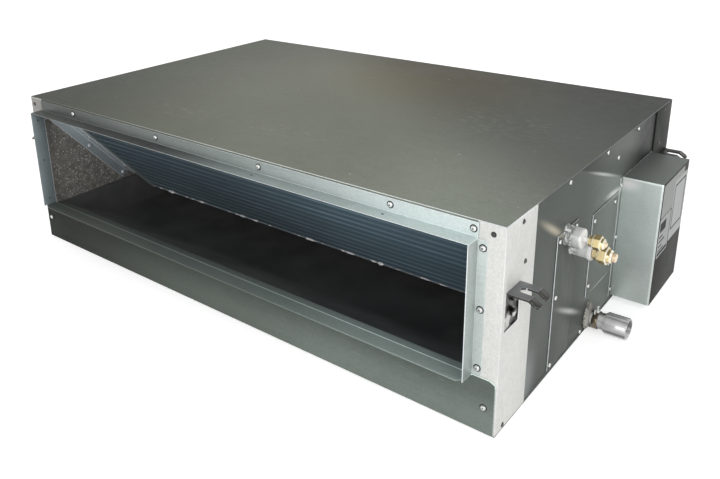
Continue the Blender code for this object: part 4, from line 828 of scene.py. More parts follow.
    # Painted reflections: pale streaks along a dark glossy tube.
    spout: Streaked = Streaked(
        "spout_grey", (0.13, 0.13, 0.13), 0.16, 0.20, coat=0.6, pale=(0.88, 0.88, 0.88),
    )
    putty: Finish = Finish("putty", (0.47, 0.46, 0.42), 0.85, 0.0, 0.50, 0.0006)
    band: Finish = Finish("clamp_band", (0.17, 0.145, 0.105), 0.30, 0.9, 0.3)
    volute: Finish = Finish("volute_plastic", (0.52, 0.53, 0.52), 0.45)
    wheel: Finish = Finish("wheel_plastic", (0.040, 0.040, 0.043), 0.42)
    motor: Finish = Finish("motor_grey", (0.22, 0.23, 0.24), 0.38, 0.5)
    shaft: Finish = Finish("shaft_steel", (0.50, 0.51, 0.52), 0.22, 1.0)
    board: Finish = Finish("board_green", (0.03, 0.15, 0.07), 0.45)
    black: Finish = Finish("black_plastic", (0.02, 0.02, 0.02), 0.45)
    rubber: Finish = Finish("black_rubber", (0.015, 0.015, 0.015), 0.75)
    paper: Paper = Paper("blank_sticker", (0.37, 0.38, 0.38), 0.50, gloss=0.2)
    white_paper: Paper = Paper("white_sticker", (0.47, 0.48, 0.48), 0.50, gloss=0.1)
    grey_paper: Paper = Paper("grey_sticker", (0.30, 0.31, 0.30), 0.50, gloss=0.2)
    ink: Finish = Finish("sticker_rule", (0.02, 0.02, 0.024), 0.6, gloss=0.1)


PALETTE = Palette()
BRASS = (PALETTE.brass, PALETTE.brass_dark, PALETTE.brass_bright)


@dataclass(frozen=True)
class Layout:
    """Faces of the part that new pieces are seated on, measured from its nodes."""

    right: float
    front: float
    back: float
    side: float
    cover: float
    box: float

    @classmethod
    def measured(cls) -> Layout:
        """Read the faces from the part.

        Returns:
            The layout.
        """
        low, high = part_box("corner_post_front_right")
        return cls(
            right=high.x,
            front=low.y,
            back=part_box("corner_post_rear_right")[1].y,
            side=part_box("side_panel_right")[1].x,
            cover=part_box("pipe_cover_panel")[1].x,
            box=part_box("control_box_cover")[1].x,
        )

    @property
    def overlay(self) -> float:
        """The front face of the sheets that lie over the front posts."""
        return self.front - SHEET


def placed(origin: Point, axis: Axis | Vector, turn: float = 0.0) -> Matrix:
    """A frame whose Z runs along an axis.

    Args:
        origin: The frame's origin.
        axis: The way its Z points.
        turn: A turn about that Z, in radians.

    Returns:
        The frame as a matrix.
    """
    way = Vector(axis.value) if isinstance(axis, Axis) else Vector(axis)
    lean = way.to_track_quat("Z", "Y").to_matrix().to_4x4()
    return Matrix.Translation(origin) @ lean @ Matrix.Rotation(turn, 4, "Z")


def turned(
    bm: bmesh.types.BMesh,
    frame: Matrix,
    profile: Profile,
    segments: int = 24,
    looped: bool = False,
    press: Press | None = None,
    material: int = 0,
) -> list[bmesh.types.BMFace]:
    """Spin a profile about a frame's Z.

    Args:
        bm: The mesh to add to.
        frame: The shape's frame.
        profile: The profile's points in order, each as height and radius.
        segments: Steps round the axis; six give a hexagon with its corners at the radius.
        looped: Whether the last point joins the first, as in a ring; otherwise both ends close on the axis.
        press: Gives a point's new radius from its height, angle and radius, where the shape isn't round.
        material: The faces' material index.

    Returns:
        The new faces.
    """
    known = set(bm.faces)
    if not looped:
        profile = [(profile[0][0], 0.0), *profile, (profile[-1][0], 0.0)]
    points = [bm.verts.new((radius, 0.0, height)) for height, radius in profile]
    edges = [bm.edges.new(pair) for pair in zip(points, points[1:])]
    if looped:
        edges.append(bm.edges.new((points[-1], points[0])))
    bmesh.ops.spin(
        bm,
        geom=points + edges,
        axis=Axis.UP.value,
        angle=math.tau,
        steps=segments,
        use_merge=True,
    )
    made = {corner for face in bm.faces if face not in known for corner in face.verts}
    bmesh.ops.remove_doubles(bm, verts=list(made), dist=1e-7)
    faces = [face for face in bm.faces if face not in known]
    corners = list({corner for face in faces for corner in face.verts})
    for corner in corners:
        reach = corner.co.xy.length
        if press and reach:
            angle = math.atan2(corner.co.y, corner.co.x) % math.tau
            corner.co.xy *= press(corner.co.z, angle, reach) / reach
    bmesh.ops.transform(bm, matrix=frame, verts=corners)
    for face in faces:
        face.material_index = material
    return faces


def corners_over(across: float) -> float:
    """The radius of a hexagon's corners, from its size across flats."""
    return across / math.sqrt(3.0)


def block(bm: bmesh.types.BMesh, low: Point, high: Point) -> None:
    """Add a box.

    Args:
        bm: The mesh to add to.
        low: Its lowest corner.
        high: Its highest corner.
    """
    middle = [(start + end) / 2 for start, end in zip(low, high)]
    size = [end - start for start, end in zip(low, high)]
    matrix = Matrix.Translation(middle) @ Matrix.Diagonal((*size, 1.0))
    bmesh.ops.create_cube(bm, size=1.0, matrix=matrix)


def points_of(shape: Iterable[object]) -> list[bmesh.types.BMVert]:
    """The points among what an operator returned."""
    return [item for item in shape if isinstance(item, bmesh.types.BMVert)]


def bevelled(bm: bmesh.types.BMesh, width: float, steps: int = 2, least: float = 30.0) -> None:
    """Round every edge that turns by more than an angle.

    Args:
        bm: The mesh.
        width: The bevel's width.
        steps: Segments across it.
        least: The smallest angle that counts as an edge, in degrees.
    """
    turn = math.radians(least)
    edges = [edge for edge in bm.edges if edge.is_manifold and edge.calc_face_angle() > turn]
    bmesh.ops.bevel(
        bm,
        geom=edges,
        offset=width,
        offset_type="OFFSET",
        segments=steps,
        profile=0.5,
        affect="EDGES",
        material=-1,
        clamp_overlap=True,
    )


def slender(face: bmesh.types.BMFace) -> bool:
    """Whether a face is as narrow as the edge of a sheet."""
    longest = max(edge.calc_length() for edge in face.edges)
    return face.calc_area() < EDGE_OF_SHEET * longest


def dress(mesh: bpy.types.Mesh, finishes: Sequence[Finish], sharp: float = SHARP) -> None:
    """Give a mesh its materials and its shading.

    Args:
        mesh: The mesh.
        finishes: A finish for each material index.
        sharp: The angle above which shading breaks, in degrees.
    """
    for finish in finishes:
        mesh.materials.append(finish.material())
    mesh.shade_smooth()
    mesh.set_sharp_from_angle(angle=math.radians(sharp))


@dataclass
class Workshop:
    """Makes the object's visible pieces and keeps count of them."""

    frame: dict
    layout: Layout
    made: int = 0

    def piece(
        self,
        name: str,
        bm: bmesh.types.BMesh,
        finishes: Finish | Sequence[Finish],
        slot: str,
        nodes: Iterable[str] = (),
        body: str = BODY,
        sharp: float = SHARP,
    ) -> bpy.types.Object:
        """Turn a mesh into a piece that moves with a body of the part.

        Args:
            name: The piece's name.
            bm: Its mesh, which is freed.
            finishes: One finish, or one for each material index.
            slot: The record's material slot; not used.
            nodes: The part's nodes that it stands for.
            body: The body that carries it.
            sharp: The angle above which shading breaks, in degrees.

        Returns:
            The piece.
        """
        bmesh.ops.recalc_face_normals(bm, faces=bm.faces)
        mesh = bpy.data.meshes.new(name)
        bm.to_mesh(mesh)
        bm.free()
        dress(mesh, [finishes] if isinstance(finishes, Finish) else finishes, sharp)
        item = bpy.data.objects.new(name, mesh)
        bpy.context.scene.collection.objects.link(item)
        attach(item, body)
        if nodes:
            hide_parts(*nodes)
        self.made += 1
        LOG.info("piece %d, %s: %d faces", self.made, name, len(mesh.polygons))
        return item

    def softened(
        self,
        node: str,
        finish: Finish,
        slot: str,
        width: float = 0.00035,
        rim: Finish | None = None,
        others: Sequence[tuple[Axis, Finish]] = (),
    ) -> bpy.types.Object:
        """A copy of a node with rounded edges, shown in its place.

        Args:
            node: The node's name.
            finish: Its finish.
            slot: The record's material slot.
            width: How far the rounding reaches.
            rim: The finish of its rounded and cut edges, where they look different.
            others: Other finishes, each for the faces that look one way.

        Returns:
            The new piece.
        """
        bm = self.shape_of(node)
        bevelled(bm, width)
        for face in bm.faces:
            face.material_index = int(bool(rim) and slender(face))
            for index, (way, _) in enumerate(others, 2):
                if face.normal.dot(Vector(way.value)) > 0.9:
                    face.material_index = index
        finishes = (finish, rim or finish, *(other for _, other in others))
        return self.piece(f"{node}_skin", bm, finishes, slot, [node])

    def shape_of(self, node: str) -> bmesh.types.BMesh:
        """Copy a node's shape.

        Args:
            node: The node's name.

        Returns:
            Its shape, with equal points merged and flat faces joined up.
        """
        bm = bmesh.new()
        bm.from_mesh(self.frame["nodes"][node].data)
        bmesh.ops.remove_doubles(bm, verts=bm.verts, dist=1e-6)
        bmesh.ops.dissolve_limit(bm, angle_limit=math.radians(0.5), verts=bm.verts, edges=bm.edges)
        return bm

    def painted(self, node: str, finish: Finish) -> None:
        """Show a node as it is, with a finish.

        Args:
            node: The node's name.
            finish: Its finish.
        """
        mesh = self.frame["nodes"][node].data
        mesh.materials.clear()
        dress(mesh, [finish])
        LOG.info("node %s: %s", node, finish.name)


def pan_head(bm: bmesh.types.BMesh, origin: Point, axis: Axis, radius: float, turn: float = 0.3) -> None:
    """Add a domed screw head with a cross recess; material 0 is the head and 1 the recess, in painted shade.

    Args:
        bm: The mesh to add to.
        origin: The middle of the head's seat.
        axis: The way it faces.
        radius: The head's radius.
        turn: The cross's turn, in radians.
    """
    arm, width, rise = 0.44 * radius, 0.11 * radius, 0.62 * radius
    recess = arm * 1.05

    def cross(_height: float, angle: float, reach: float) -> float:
        """Draw the recess in between its four arms."""
        quarter = abs((angle + math.pi / 4) % (math.pi / 2) - math.pi / 4)
        return reach / arm * min(arm, width / max(math.sin(quarter), 0.01)) if reach < recess else reach

    profile = [
        (0.0, radius),
        (rise * 0.30, radius),
        (rise * 0.66, radius * 0.88),
        (rise * 0.92, radius * 0.70),
        (rise, arm),
        (rise * 0.45, arm * 0.82),
    ]
    frame = placed(origin, axis, turn)
    inside = frame.inverted()
    for face in turned(bm, frame, profile, press=cross):
        if all((inside @ corner.co).xy.length < recess for corner in face.verts):
            face.material_index = 1


def shadow_ring(bm: bmesh.types.BMesh, origin: Point, axis: Axis, radius: float) -> None:
    """Add a thin dark ring round a screw head, a painted shadow, in material 1."""
    outer = radius * 1.38
    turned(bm, placed(origin, axis), [(-LIFT / 2, outer), (LIFT / 4, outer)], material=1)


def hex_bolt(bm: bmesh.types.BMesh, origin: Point, axis: Axis, across: float, turn: float) -> None:
    """Add a chamfered hexagon head on a plain washer.

    Args:
        bm: The mesh to add to.
        origin: The middle of the washer's seat.
        axis: The way it faces.
        across: The head's size across flats.
        turn: The head's turn, in radians.
    """
    frame = placed(origin, axis, turn)
    washer, plate, rise = across * 0.62, 0.0010, across * 0.42
    turned(bm, frame, [(0.0, washer), (plate * 0.8, washer), (plate, washer * 0.96)], 36)
    corner = corners_over(across)
    turned(bm, frame, [(plate, corner), (plate + rise * 0.82, corner), (plate + rise, corner * 0.88)], 6)


@dataclass
class Fasteners:
    """Screws gathered by the panel that they hold, and dark discs painted as shade in the open holes of the
    outlet collar.

    Rows and places give x, or y on the two ends, and then z.
    """

    shop: Workshop
    radius: float = 0.0037
    small: float = 0.0032
    box_radius: float = 0.0030
    tiny: float = 0.0026
    hole: float = 0.0017
    top_row: float = 0.2785
    flange_places: tuple[float, ...] = (-0.352, -0.124, 0.104, 0.332, 0.449)
    tab_place: float = 0.4622
    tab_heights: tuple[float, ...] = (0.2568, 0.1746, 0.0928)
    apron_places: tuple[Place, ...] = ((0.4735, 0.039), (-0.476, 0.0436))
    corner_places: tuple[Place, ...] = ((0.474, 0.277), (-0.480, 0.276))
    post_places: tuple[Place, ...] = ((0.280, 0.281), (0.268, 0.224), (0.304, 0.007))
    lid_places: tuple[Place, ...] = ((-0.135, 0.2825), (0.007, 0.2825), (0.145, 0.2825))
    base_places: tuple[Place, ...] = ((-0.040, 0.0055), (0.140, 0.0055))
    bracket_places: tuple[Place, ...] = ((0.0585, 0.2594),)
    pipe_places: tuple[Place, ...] = ((-0.1575, 0.205), (-0.1570, 0.120), (-0.1580, 0.013), (-0.101, 0.207))
    access_places: tuple[Place, ...] = ((-0.026, 0.1857), (0.0606, 0.1866), (-0.027, 0.079), (0.0600, 0.079))
    box_rows: tuple[float, ...] = (0.2066, 0.1168, 0.0226)
    box_columns: tuple[float, ...] = (0.0838, 0.2332)
    leg_depth: float = 0.338
    leg_height: float = 0.2686
    leg_side: float = 0.4542
    leg_heights: tuple[float, ...] = (0.251, 0.172, 0.094)
    leg_places: tuple[float, ...] = (-0.36, -0.13, 0.10, 0.328)
    return_columns: tuple[float, ...] = (-0.46, -0.23, 0.0, 0.23, 0.46)
    return_rows: tuple[float, ...] = (0.273, 0.018)
    return_sides: tuple[Place, ...] = ((-0.462, 0.145), (0.462, 0.145))

    def group(
        self,
        name: str,
        axis: Axis,
        points: Iterable[Point],
        radius: float | None = None,
        finish: Finish = PALETTE.screw,
    ) -> None:
        """Make one piece with a screw head at each point.

        Args:
            name: The piece's name.
            axis: The way the heads face.
            points: Their seats.
            radius: Their radius, where it isn't the usual one.
            finish: The heads' finish.
        """
        bm = bmesh.new()
        spin = random.Random(name)
        for point in points:
            pan_head(bm, point, axis, radius or self.radius, spin.uniform(0.0, 1.5))
            shadow_ring(bm, point, axis, radius or self.radius)
        self.shop.piece(name, bm, (finish, PALETTE.recess), "zinc_steel")

    def holes(self, name: str, axis: Axis, points: Iterable[Point]) -> None:
        """Make one piece with a small dark disc at each point, painted shade in a hole.

        Args:
            name: The piece's name.
            axis: The way the holes face.
            points: Their places.
        """
        bm = bmesh.new()
        for point in points:
            turned(bm, placed(point, axis), [(0.0, self.hole), (LIFT, self.hole)], 16)
        self.shop.piece(name, bm, PALETTE.recess, "zinc_steel")

    def outlet(self) -> None:
        """Screws of the outlet flange, its tabs, the lower panel and the front posts."""
        layout = self.shop.layout
        front = layout.overlay - LIFT
        self.group("flange_screws", Axis.FRONT, [(x, front, self.top_row) for x in self.flange_places])
        tabs = [(side * self.tab_place, front, z) for side in (-1, 1) for z in self.tab_heights]
        self.group("tab_screws", Axis.FRONT, tabs)
        self.group("apron_screws", Axis.FRONT, [(x, front, z) for x, z in self.apron_places])
        corners = [(x, layout.front - LIFT, z) for x, z in self.corner_places]
        self.group("post_screws_front", Axis.FRONT, corners, self.tiny, PALETTE.dark_screw)
        top = [(x, -self.leg_depth, self.leg_height) for x in self.leg_places]
        self.holes("top_leg_holes", Axis.UP, top)
        for axis, side in ((Axis.LEFT, 1), (Axis.RIGHT, -1)):
            legs = [(side * self.leg_side, -self.leg_depth, z) for z in self.leg_heights]
            self.holes(f"leg_holes_facing_{axis.name.lower()}", axis, legs)

    def ends(self) -> None:
        """Screws of the two ends and their posts."""
        layout = self.shop.layout
        for axis, side in ((Axis.RIGHT, 1), (Axis.LEFT, -1)):
            name = axis.name.lower()
            post = side * (layout.right + LIFT)
            posts = [(post, way * y, z) for y, z in self.post_places for way in (-1, 1)]
            self.group(f"post_screws_{name}", axis, posts, self.tiny, PALETTE.dark_screw)
            face = side * (layout.side + LIFT)
            self.group(f"lid_screws_{name}", axis, [(face, y, z) for y, z in self.lid_places], self.small)
            self.group(f"base_screws_{name}", axis, [(face, y, z) for y, z in self.base_places], self.small)
        for name, face, places in (
            ("bracket_screw", layout.side, self.bracket_places),
            ("pipe_cover_screws", layout.cover, self.pipe_places),
            ("access_screws", layout.cover, self.access_places),
        ):
            self.group(name, Axis.RIGHT, [(face + LIFT, y, z) for y, z in places], self.small)
        flange = [(layout.cover + LIFT, y, z) for y in self.box_columns for z in self.box_rows]
        self.group("box_flange_screws", Axis.RIGHT, flange, self.box_radius)

    def rear(self) -> None:
        """Screws of the return frame."""
        face = self.shop.layout.back + SHEET + LIFT
        back = [(x, face, z) for x in self.return_columns for z in self.return_rows]
        back += [(x, face, z) for x, z in self.return_sides]
        self.group("return_screws", Axis.REAR, back)

    def build(self) -> None:
        """Make every group."""
        self.outlet()
        self.ends()
        self.rear()


@dataclass
class Casing:
    """Panels, posts and collars with rounded sheet edges."""

    shop: Workshop

    def build(self) -> None:
        """Make the casing's pieces."""
        shop = self.shop
        steel, bright = "galvanised_steel", "bright_galvanised"
        shop.softened("top_panel", PALETTE.lid, steel, 0.0008, PALETTE.lid_edge)
        shop.softened("bottom_panel", PALETTE.panel, steel)
        for hand in ("left", "right"):
            shop.softened(f"corner_post_front_{hand}", PALETTE.post, "post_paint", 0.0006, PALETTE.post_edge)
        shop.softened("corner_post_rear_left", PALETTE.panel, "post_paint", 0.0005)
        # The rear right post takes a near-black copy of the steel, painted shade.
        shop.softened("corner_post_rear_right", PALETTE.rear, "post_paint", 0.0005)
        shop.softened("side_panel_left", PALETTE.panel, steel, 0.0003, PALETTE.rim)
        shop.softened("side_panel_right", PALETTE.end_panel, steel, 0.0006, PALETTE.rim)
        for node in ("pipe_cover_panel", "access_panel"):
            shop.softened(node, PALETTE.end_panel, steel, 0.0005, PALETTE.rim, ((Axis.UP, PALETTE.seam),))
        legs = ((Axis.UP, PALETTE.apron_leg),)
        shop.softened("front_lower_panel", PALETTE.apron, steel, 0.0007, PALETTE.apron_leg, legs)
        shop.softened("front_sill", PALETTE.apron_leg, bright, 0.0006, PALETTE.rim)
        legs = ((Axis.UP, PALETTE.flange_leg),)
        shop.softened("outlet_flange_top", PALETTE.flange, bright, 0.0006, PALETTE.rim, legs)
        # The left flange takes a darker copy of the bright steel, painted shade.
        shop.softened("outlet_flange_left", PALETTE.end_steel, bright, 0.0005, PALETTE.rim)
        shop.softened("outlet_flange_right", PALETTE.bright, bright, 0.0005, PALETTE.rim)
        shop.softened("return_air_frame", PALETTE.bright, bright, 0.0004)
        for node in ("side_liner_left", "side_liner_right", "top_liner"):
            shop.painted(node, PALETTE.foil)


@dataclass
class Hangers:
    """The four forks, each with two bolts through its plate."""

    shop: Workshop
    height: float = 0.2013
    centre: float = 0.2965
    drops: tuple[float, float] = (0.0125, 0.0335)
    bolt: float = 0.010
    rounding: float = 0.0011
    fold: float = 0.0045

    def fork(self, node: str) -> None:
        """Make a fork: its foot plated, with painted reflections, its tips dark, its edges with a painted
        highlight.

        Args:
            node: The fork's node.
        """
        bm = self.shop.shape_of(node)
        bevelled(bm, self.rounding)
        foot = self.height - self.fold
        for face in bm.faces:
            if slender(face):
                face.material_index = 1
            elif abs(face.normal.y) > 0.7:
                face.material_index = 3
            elif abs(face.normal.x) > 0.9 and face.calc_center_median().z < foot:
                face.material_index = 2
            elif abs(face.normal.x) > 0.3:
                face.material_index = 3
        flat, edge = PALETTE.fork, PALETTE.fork_edge
        # A rear fork's flats take the near-black tip finish as painted shade, and its edges the plain fork
        # steel.
        if "rear" in node:
            flat, edge = PALETTE.fork_tip, PALETTE.fork
        finishes = (flat, edge, PALETTE.plate, PALETTE.fork_tip)
        self.shop.piece(f"{node}_skin", bm, finishes, "zinc_steel", [node])

    def build(self) -> None:
        """Make forks and bolts."""
        face = self.shop.layout.side + LIFT / 2
        for end, along in (("front", -1), ("rear", 1)):
            for hand, across in (("left", -1), ("right", 1)):
                self.fork(f"hanger_bracket_{end}_{hand}")
                bm = bmesh.new()
                axis = Axis.RIGHT if across > 0 else Axis.LEFT
                for drop, turn in zip(self.drops, (0.2, 0.7)):
                    seat = (across * face, along * self.centre, self.height - drop)
                    hex_bolt(bm, seat, axis, self.bolt, turn)
                bevelled(bm, 0.0002, 1)
                self.shop.piece(f"hanger_bolts_{end}_{hand}", bm, PALETTE.plate, "zinc_steel")


@dataclass
class Coil:
    """Thin fins on tubes, end plates with their bends, and the strips beside them."""

    shop: Workshop
    size: CoilSize = COIL
    tube: float = 0.0048
    bead: float = 0.0002
    bead_steps: int = 300
    bead_place: Point = (0.0, -0.0008, 0.0080)
    plate: float = 0.4400
    plate_face: float = -0.0026
    plate_screws: tuple[float, ...] = (0.095, 0.205)
    wall: float = 0.4664
    wall_screws: tuple[Place, ...] = ((-0.229, 0.168), (-0.157, 0.088))

    def frame(self) -> Matrix:
        """The coil's frame: X along it, Y through it and Z up it."""
        return Matrix.Translation((0.0, *self.size.foot)) @ Matrix.Rotation(self.size.tilt, 4, "X")

    def outline(self) -> list[tuple[float, float]]:
        """Draw a fin's edge, with one ripple for each tube on both faces.

        Returns:
            Its points across and up the coil, in order.
        """
        size = self.size
        front, back = [], []
        for tube in range(size.tubes):
            low, middle = tube * size.step, (tube + 0.5) * size.step
            front += [(0.0, low), (size.ripple, middle)]
            back += [(size.thickness, low), (size.thickness - size.ripple, middle)]
        front.append((0.0, size.length))
        back.append((size.thickness, size.length))
        return front + back[::-1]

    def fins(self) -> None:
        """Make the fins as one piece."""
        size = self.size
        bm = bmesh.new()
        count = int(2 * (size.half - 0.002) / size.pitch)
        start = -count / 2 * size.pitch - size.fin / 2
        blade = bm.faces.new([bm.verts.new((start, y, z)) for y, z in self.outline()])
        grown = bmesh.ops.extrude_face_region(bm, geom=[blade])["geom"]
        bmesh.ops.translate(bm, vec=(size.fin, 0.0, 0.0), verts=points_of(grown))
        whole = [*bm.verts, *bm.edges, *bm.faces]
        for index in range(1, count + 1):
            copied = bmesh.ops.duplicate(bm, geom=whole)["geom"]
            bmesh.ops.translate(bm, vec=(index * size.pitch, 0.0, 0.0), verts=points_of(copied))
        bmesh.ops.transform(bm, matrix=self.frame(), verts=bm.verts)
        self.shop.piece("coil_fin_pack", bm, PALETTE.fins, "blue_fins", ["coil_fins"], sharp=20.0)

    def pipes(self) -> None:
        """Make the tubes that cross the fins."""
        size = self.size
        bm = bmesh.new()
        frame = self.frame()
        for row in range(size.rows):
            for tube in range(size.tubes):
                depth = (row + 0.5) * size.thickness / size.rows
                centre = frame @ Vector((-size.half, depth, (tube + 0.5) * size.step))
                turned(bm, placed(centre, Axis.RIGHT), [(0.0, self.tube), (2 * size.half, self.tube)], 12)
        self.shop.piece("coil_tubes", bm, PALETTE.tube, "copper")

    def drip_edge(self) -> None:
        """Make the broken bright bead of sealant where the fins meet the pan."""
        half, steps = self.size.half, self.bead_steps

        def swollen(height: float, _angle: float, reach: float) -> float:
            """Swell the bead in uneven lumps."""
            coarse, fine = Vector((height * 34, 0.0, 3.0)), Vector((height * 110, 5.0, 0.0))
            return reach + 0.0050 * min(max(noise.noise(coarse) + 0.5 * noise.noise(fine), 0.0), 0.6)

        bm = bmesh.new()
        frame = self.frame() @ placed(self.bead_place, Axis.RIGHT)
        profile = [(half * (2 * index / steps - 1), self.bead) for index in range(steps + 1)]
        turned(bm, frame, profile, 8, press=swollen)
        self.shop.piece("coil_bead", bm, PALETTE.bead, "bright_galvanised")

    def rivets(self) -> None:
        """Make the screws of the end plates and of the strips on the end walls."""
        frame = self.frame()
        bm = bmesh.new()
        outward = frame.to_3x3() @ Vector((0.0, -1.0, 0.0))
        plate_head = [(0.0, 0.0032), (0.0010, 0.0032), (0.0018, 0.0016)]
        wall_head = [(0.0, 0.0034), (0.0012, 0.0032), (0.0020, 0.0016)]
        for side, axis in ((-1, Axis.RIGHT), (1, Axis.LEFT)):
            for up in self.plate_screws:
                seat = frame @ Vector((side * self.plate, self.plate_face, up))
                turned(bm, placed(seat, outward), plate_head, 16)
            for y, z in self.wall_screws:
                turned(bm, placed((side * self.wall, y, z), axis), wall_head, 16)
        # The screws share the pale finish of the painted edge highlights.
        self.shop.piece("coil_screws", bm, PALETTE.box_edge, "zinc_steel")

    def build(self) -> None:
        """Make the coil's pieces."""
        self.fins()
        self.pipes()
        self.drip_edge()
        for hand in ("left", "right"):
            self.shop.painted(f"coil_end_plate_{hand}", PALETTE.bright)
            node = f"coil_bracket_{hand}"
            self.shop.softened(node, PALETTE.strip, "bright_galvanised", 0.0006, PALETTE.box_edge)
        self.rivets()


@dataclass(frozen=True)
class LineSize:
    """One refrigerant connection's sizes; a union and a nut have a start, an end and a size across flats."""

    name: str
    y: float
    z: float
    sleeve_radius: float
    sleeve_end: float
    pipe_radius: float
    union: Point
    thread_radius: float
    nut: Point
    cone: float
    plug: float


class Lines(Enum):
    """The two connections."""

    LIQUID = LineSize(
        name="liquid",
        y=-0.1328035,
        z=0.2059,
        sleeve_radius=0.0144,
        sleeve_end=0.5122,
        pipe_radius=0.0032,
        union=(0.5197, 0.5252, 0.0134),
        thread_radius=0.0062,
        nut=(0.5255, 0.5370, 0.0186),
        cone=0.5415,
        plug=0.5439,
    )
    GAS = LineSize(
        name="gas",
        y=-0.1115035,
        z=0.1800,
        sleeve_radius=0.0108,
        sleeve_end=0.5192,
        pipe_radius=0.0062,
        union=(0.5205, 0.5270, 0.0172),
        thread_radius=0.0092,
        nut=(0.5273, 0.5403, 0.0231),
        cone=0.5465,
        plug=0.5515,
    )


@dataclass
class Connections:
    """Insulated pipes with their unions, flare nuts and sealing plugs."""

    shop: Workshop
    start: float = 0.4683
    turn: float = 0.25
    steps: int = 30
    smooth_from: float = 0.5035
    crumple: float = 0.006
    least_dent: float = 0.00015
    most_dent: float = 0.0019
    collar_radii: Place = (0.0108, 0.0120)
    collar_ends: Place = (0.5145, 0.5200)

    def sleeve(self, line: LineSize) -> None:
        """Make the insulation: tape over foam, crumpled where it leaves the casing, with a pale cut end.

        Args:
            line: The connection's sizes.
        """
        bm = bmesh.new()
        frame = placed((0.0, line.y, line.z), Axis.RIGHT)
        skin, bore = line.sleeve_radius - 0.0002, line.pipe_radius + 0.0004
        start, end, length = self.start, line.sleeve_end, line.sleeve_end - self.start

        def dented(height: float, angle: float, reach: float) -> float:
            """Press dents into the tape.

            Args:
                height: How far along the pipe.
                angle: Where round it, in radians.
                reach: The radius before.

            Returns:
                The radius after.
            """
            if reach < line.sleeve_radius * 0.95:
                return reach
            root = min(max((self.smooth_from - height) / self.crumple, 0.0), 1.0)
            crush = (self.least_dent + self.most_dent * root) if height > self.shop.layout.cover else 0.0
            spot = Vector((height * 240, math.cos(angle) * 2.4, math.sin(angle) * 2.4))
            return reach - crush * abs(noise.noise(spot))

        profile = [(start + length * index / self.steps, skin) for index in range(self.steps)]
        lip = (end + 0.0002, line.sleeve_radius * 0.90)
        profile += [(end, skin - 0.0003), lip, (end, bore), (start, bore)]
        inside = frame.inverted()
        for face in turned(bm, frame, profile, 48, looped=True, press=dented):
            reaches = [(inside @ corner.co).xy.length for corner in face.verts]
            face.material_index = int(min(reaches) < line.sleeve_radius * 0.92)
        finishes, nodes = (PALETTE.tape, PALETTE.white_foam), [f"{line.name}_sleeve"]
        self.shop.piece(f"{line.name}_insulation", bm, finishes, "silver_jacket", nodes, sharp=60.0)

    def facets(self, bm: bmesh.types.BMesh) -> None:
        """Darken every other flat of the hexagons as painted shade, and give their cut corners a painted
        highlight.

        Args:
            bm: The fitting's mesh.
        """
        bm.normal_update()
        for face in bm.faces:
            around = math.atan2(face.normal.z, face.normal.y)
            if abs(face.normal.x) < 0.3:
                face.material_index = 1 if round(around / math.radians(60)) % 2 else 0
            elif abs(face.normal.x) < 0.97:
                face.material_index = 2

    def hexagon(
        self,
        bm: bmesh.types.BMesh,
        frame: Matrix,
        size: Point,
        chamfer: float,
        cut: float,
    ) -> None:
        """Add a hexagon whose corners are cut at both ends.

        Args:
            bm: The mesh to add to.
            frame: The pipe's frame.
            size: Its start, its end and its size across flats.
            chamfer: How far along the cut reaches.
            cut: The radius that the cut leaves at the ends, as a share of the corners' radius.
        """
        low, high, across = size
        side = corners_over(across)
        profile = [(low, side * cut), (low + chamfer, side), (high - chamfer, side), (high, side * cut)]
        turned(bm, frame, profile, 6)

    def union(self, line: LineSize, frame: Matrix) -> None:
        """Make the union with its thread.

        Args:
            line: The connection's sizes.
            frame: The pipe's frame.
        """
        bm = bmesh.new()
        _, high, flats = line.union
        soft, thread = flats * 0.06, line.thread_radius * 1.04
        self.hexagon(bm, frame, line.union, soft, 0.90)
        turned(bm, frame, [(high - soft, thread), (high + 0.0030, thread)], 48)
        self.facets(bm)
        nodes = [f"{line.name}_union"]
        self.shop.piece(f"{line.name}_union_body", bm, BRASS, "brass", nodes, sharp=25.0)

    def nut(self, line: LineSize, frame: Matrix) -> None:
        """Make the flare nut: a hexagon that narrows to a neck round the pipe.

        Args:
            line: The connection's sizes.
            frame: The pipe's frame.
        """
        bm = bmesh.new()
        _, high, flats = line.nut
        cone, chamfer = line.cone, flats * 0.08
        waist, nose = flats * 0.43, line.pipe_radius + 0.0012
        self.hexagon(bm, frame, line.nut, chamfer, 0.88)
        neck = [
            (high - chamfer, waist),
            (high + 0.0002, waist),
            (high + (cone - high) * 0.55, waist * 0.94),
            (cone - 0.0004, nose * 1.02 + (waist - nose) * 0.25),
            (cone, nose + (waist - nose) * 0.12),
            (cone - 0.0010, nose),
            (cone - 0.0030, line.pipe_radius + 0.0004),
        ]
        turned(bm, frame, neck, 48)
        self.facets(bm)
        nodes = [f"{line.name}_flare_nut"]
        self.shop.piece(f"{line.name}_nut_body", bm, BRASS, "brass", nodes, sharp=25.0)

    def plug(self, line: LineSize, frame: Matrix) -> None:
        """Make the copper plug with its rounded end.

        Args:
            line: The connection's sizes.
            frame: The pipe's frame.
        """
        bm = bmesh.new()
        radius, end = line.pipe_radius, line.plug
        profile = [
            (line.cone - 0.0060, radius),
            (end - 0.0008, radius),
            (end - 0.0002, radius * 0.86),
            (end, radius * 0.62),
        ]
        turned(bm, frame, profile, 32)
        nodes = [f"{line.name}_plug"]
        self.shop.piece(f"{line.name}_plug_body", bm, PALETTE.copper, "copper", nodes, sharp=50.0)

    def collar(self) -> None:
        """Make the ring of foam at the end of the large line's sleeve."""
        gas = Lines.GAS.value
        bm = bmesh.new()
        (inner, outer), (low, high) = self.collar_radii, self.collar_ends
        ring = [(low, inner), (low, outer), (high, outer), (high, inner)]
        turned(bm, placed((0.0, gas.y, gas.z), Axis.RIGHT), ring, 40, looped=True)
        bevelled(bm, 0.0003)
        self.shop.piece("gas_collar", bm, PALETTE.white_foam, "silver_jacket")

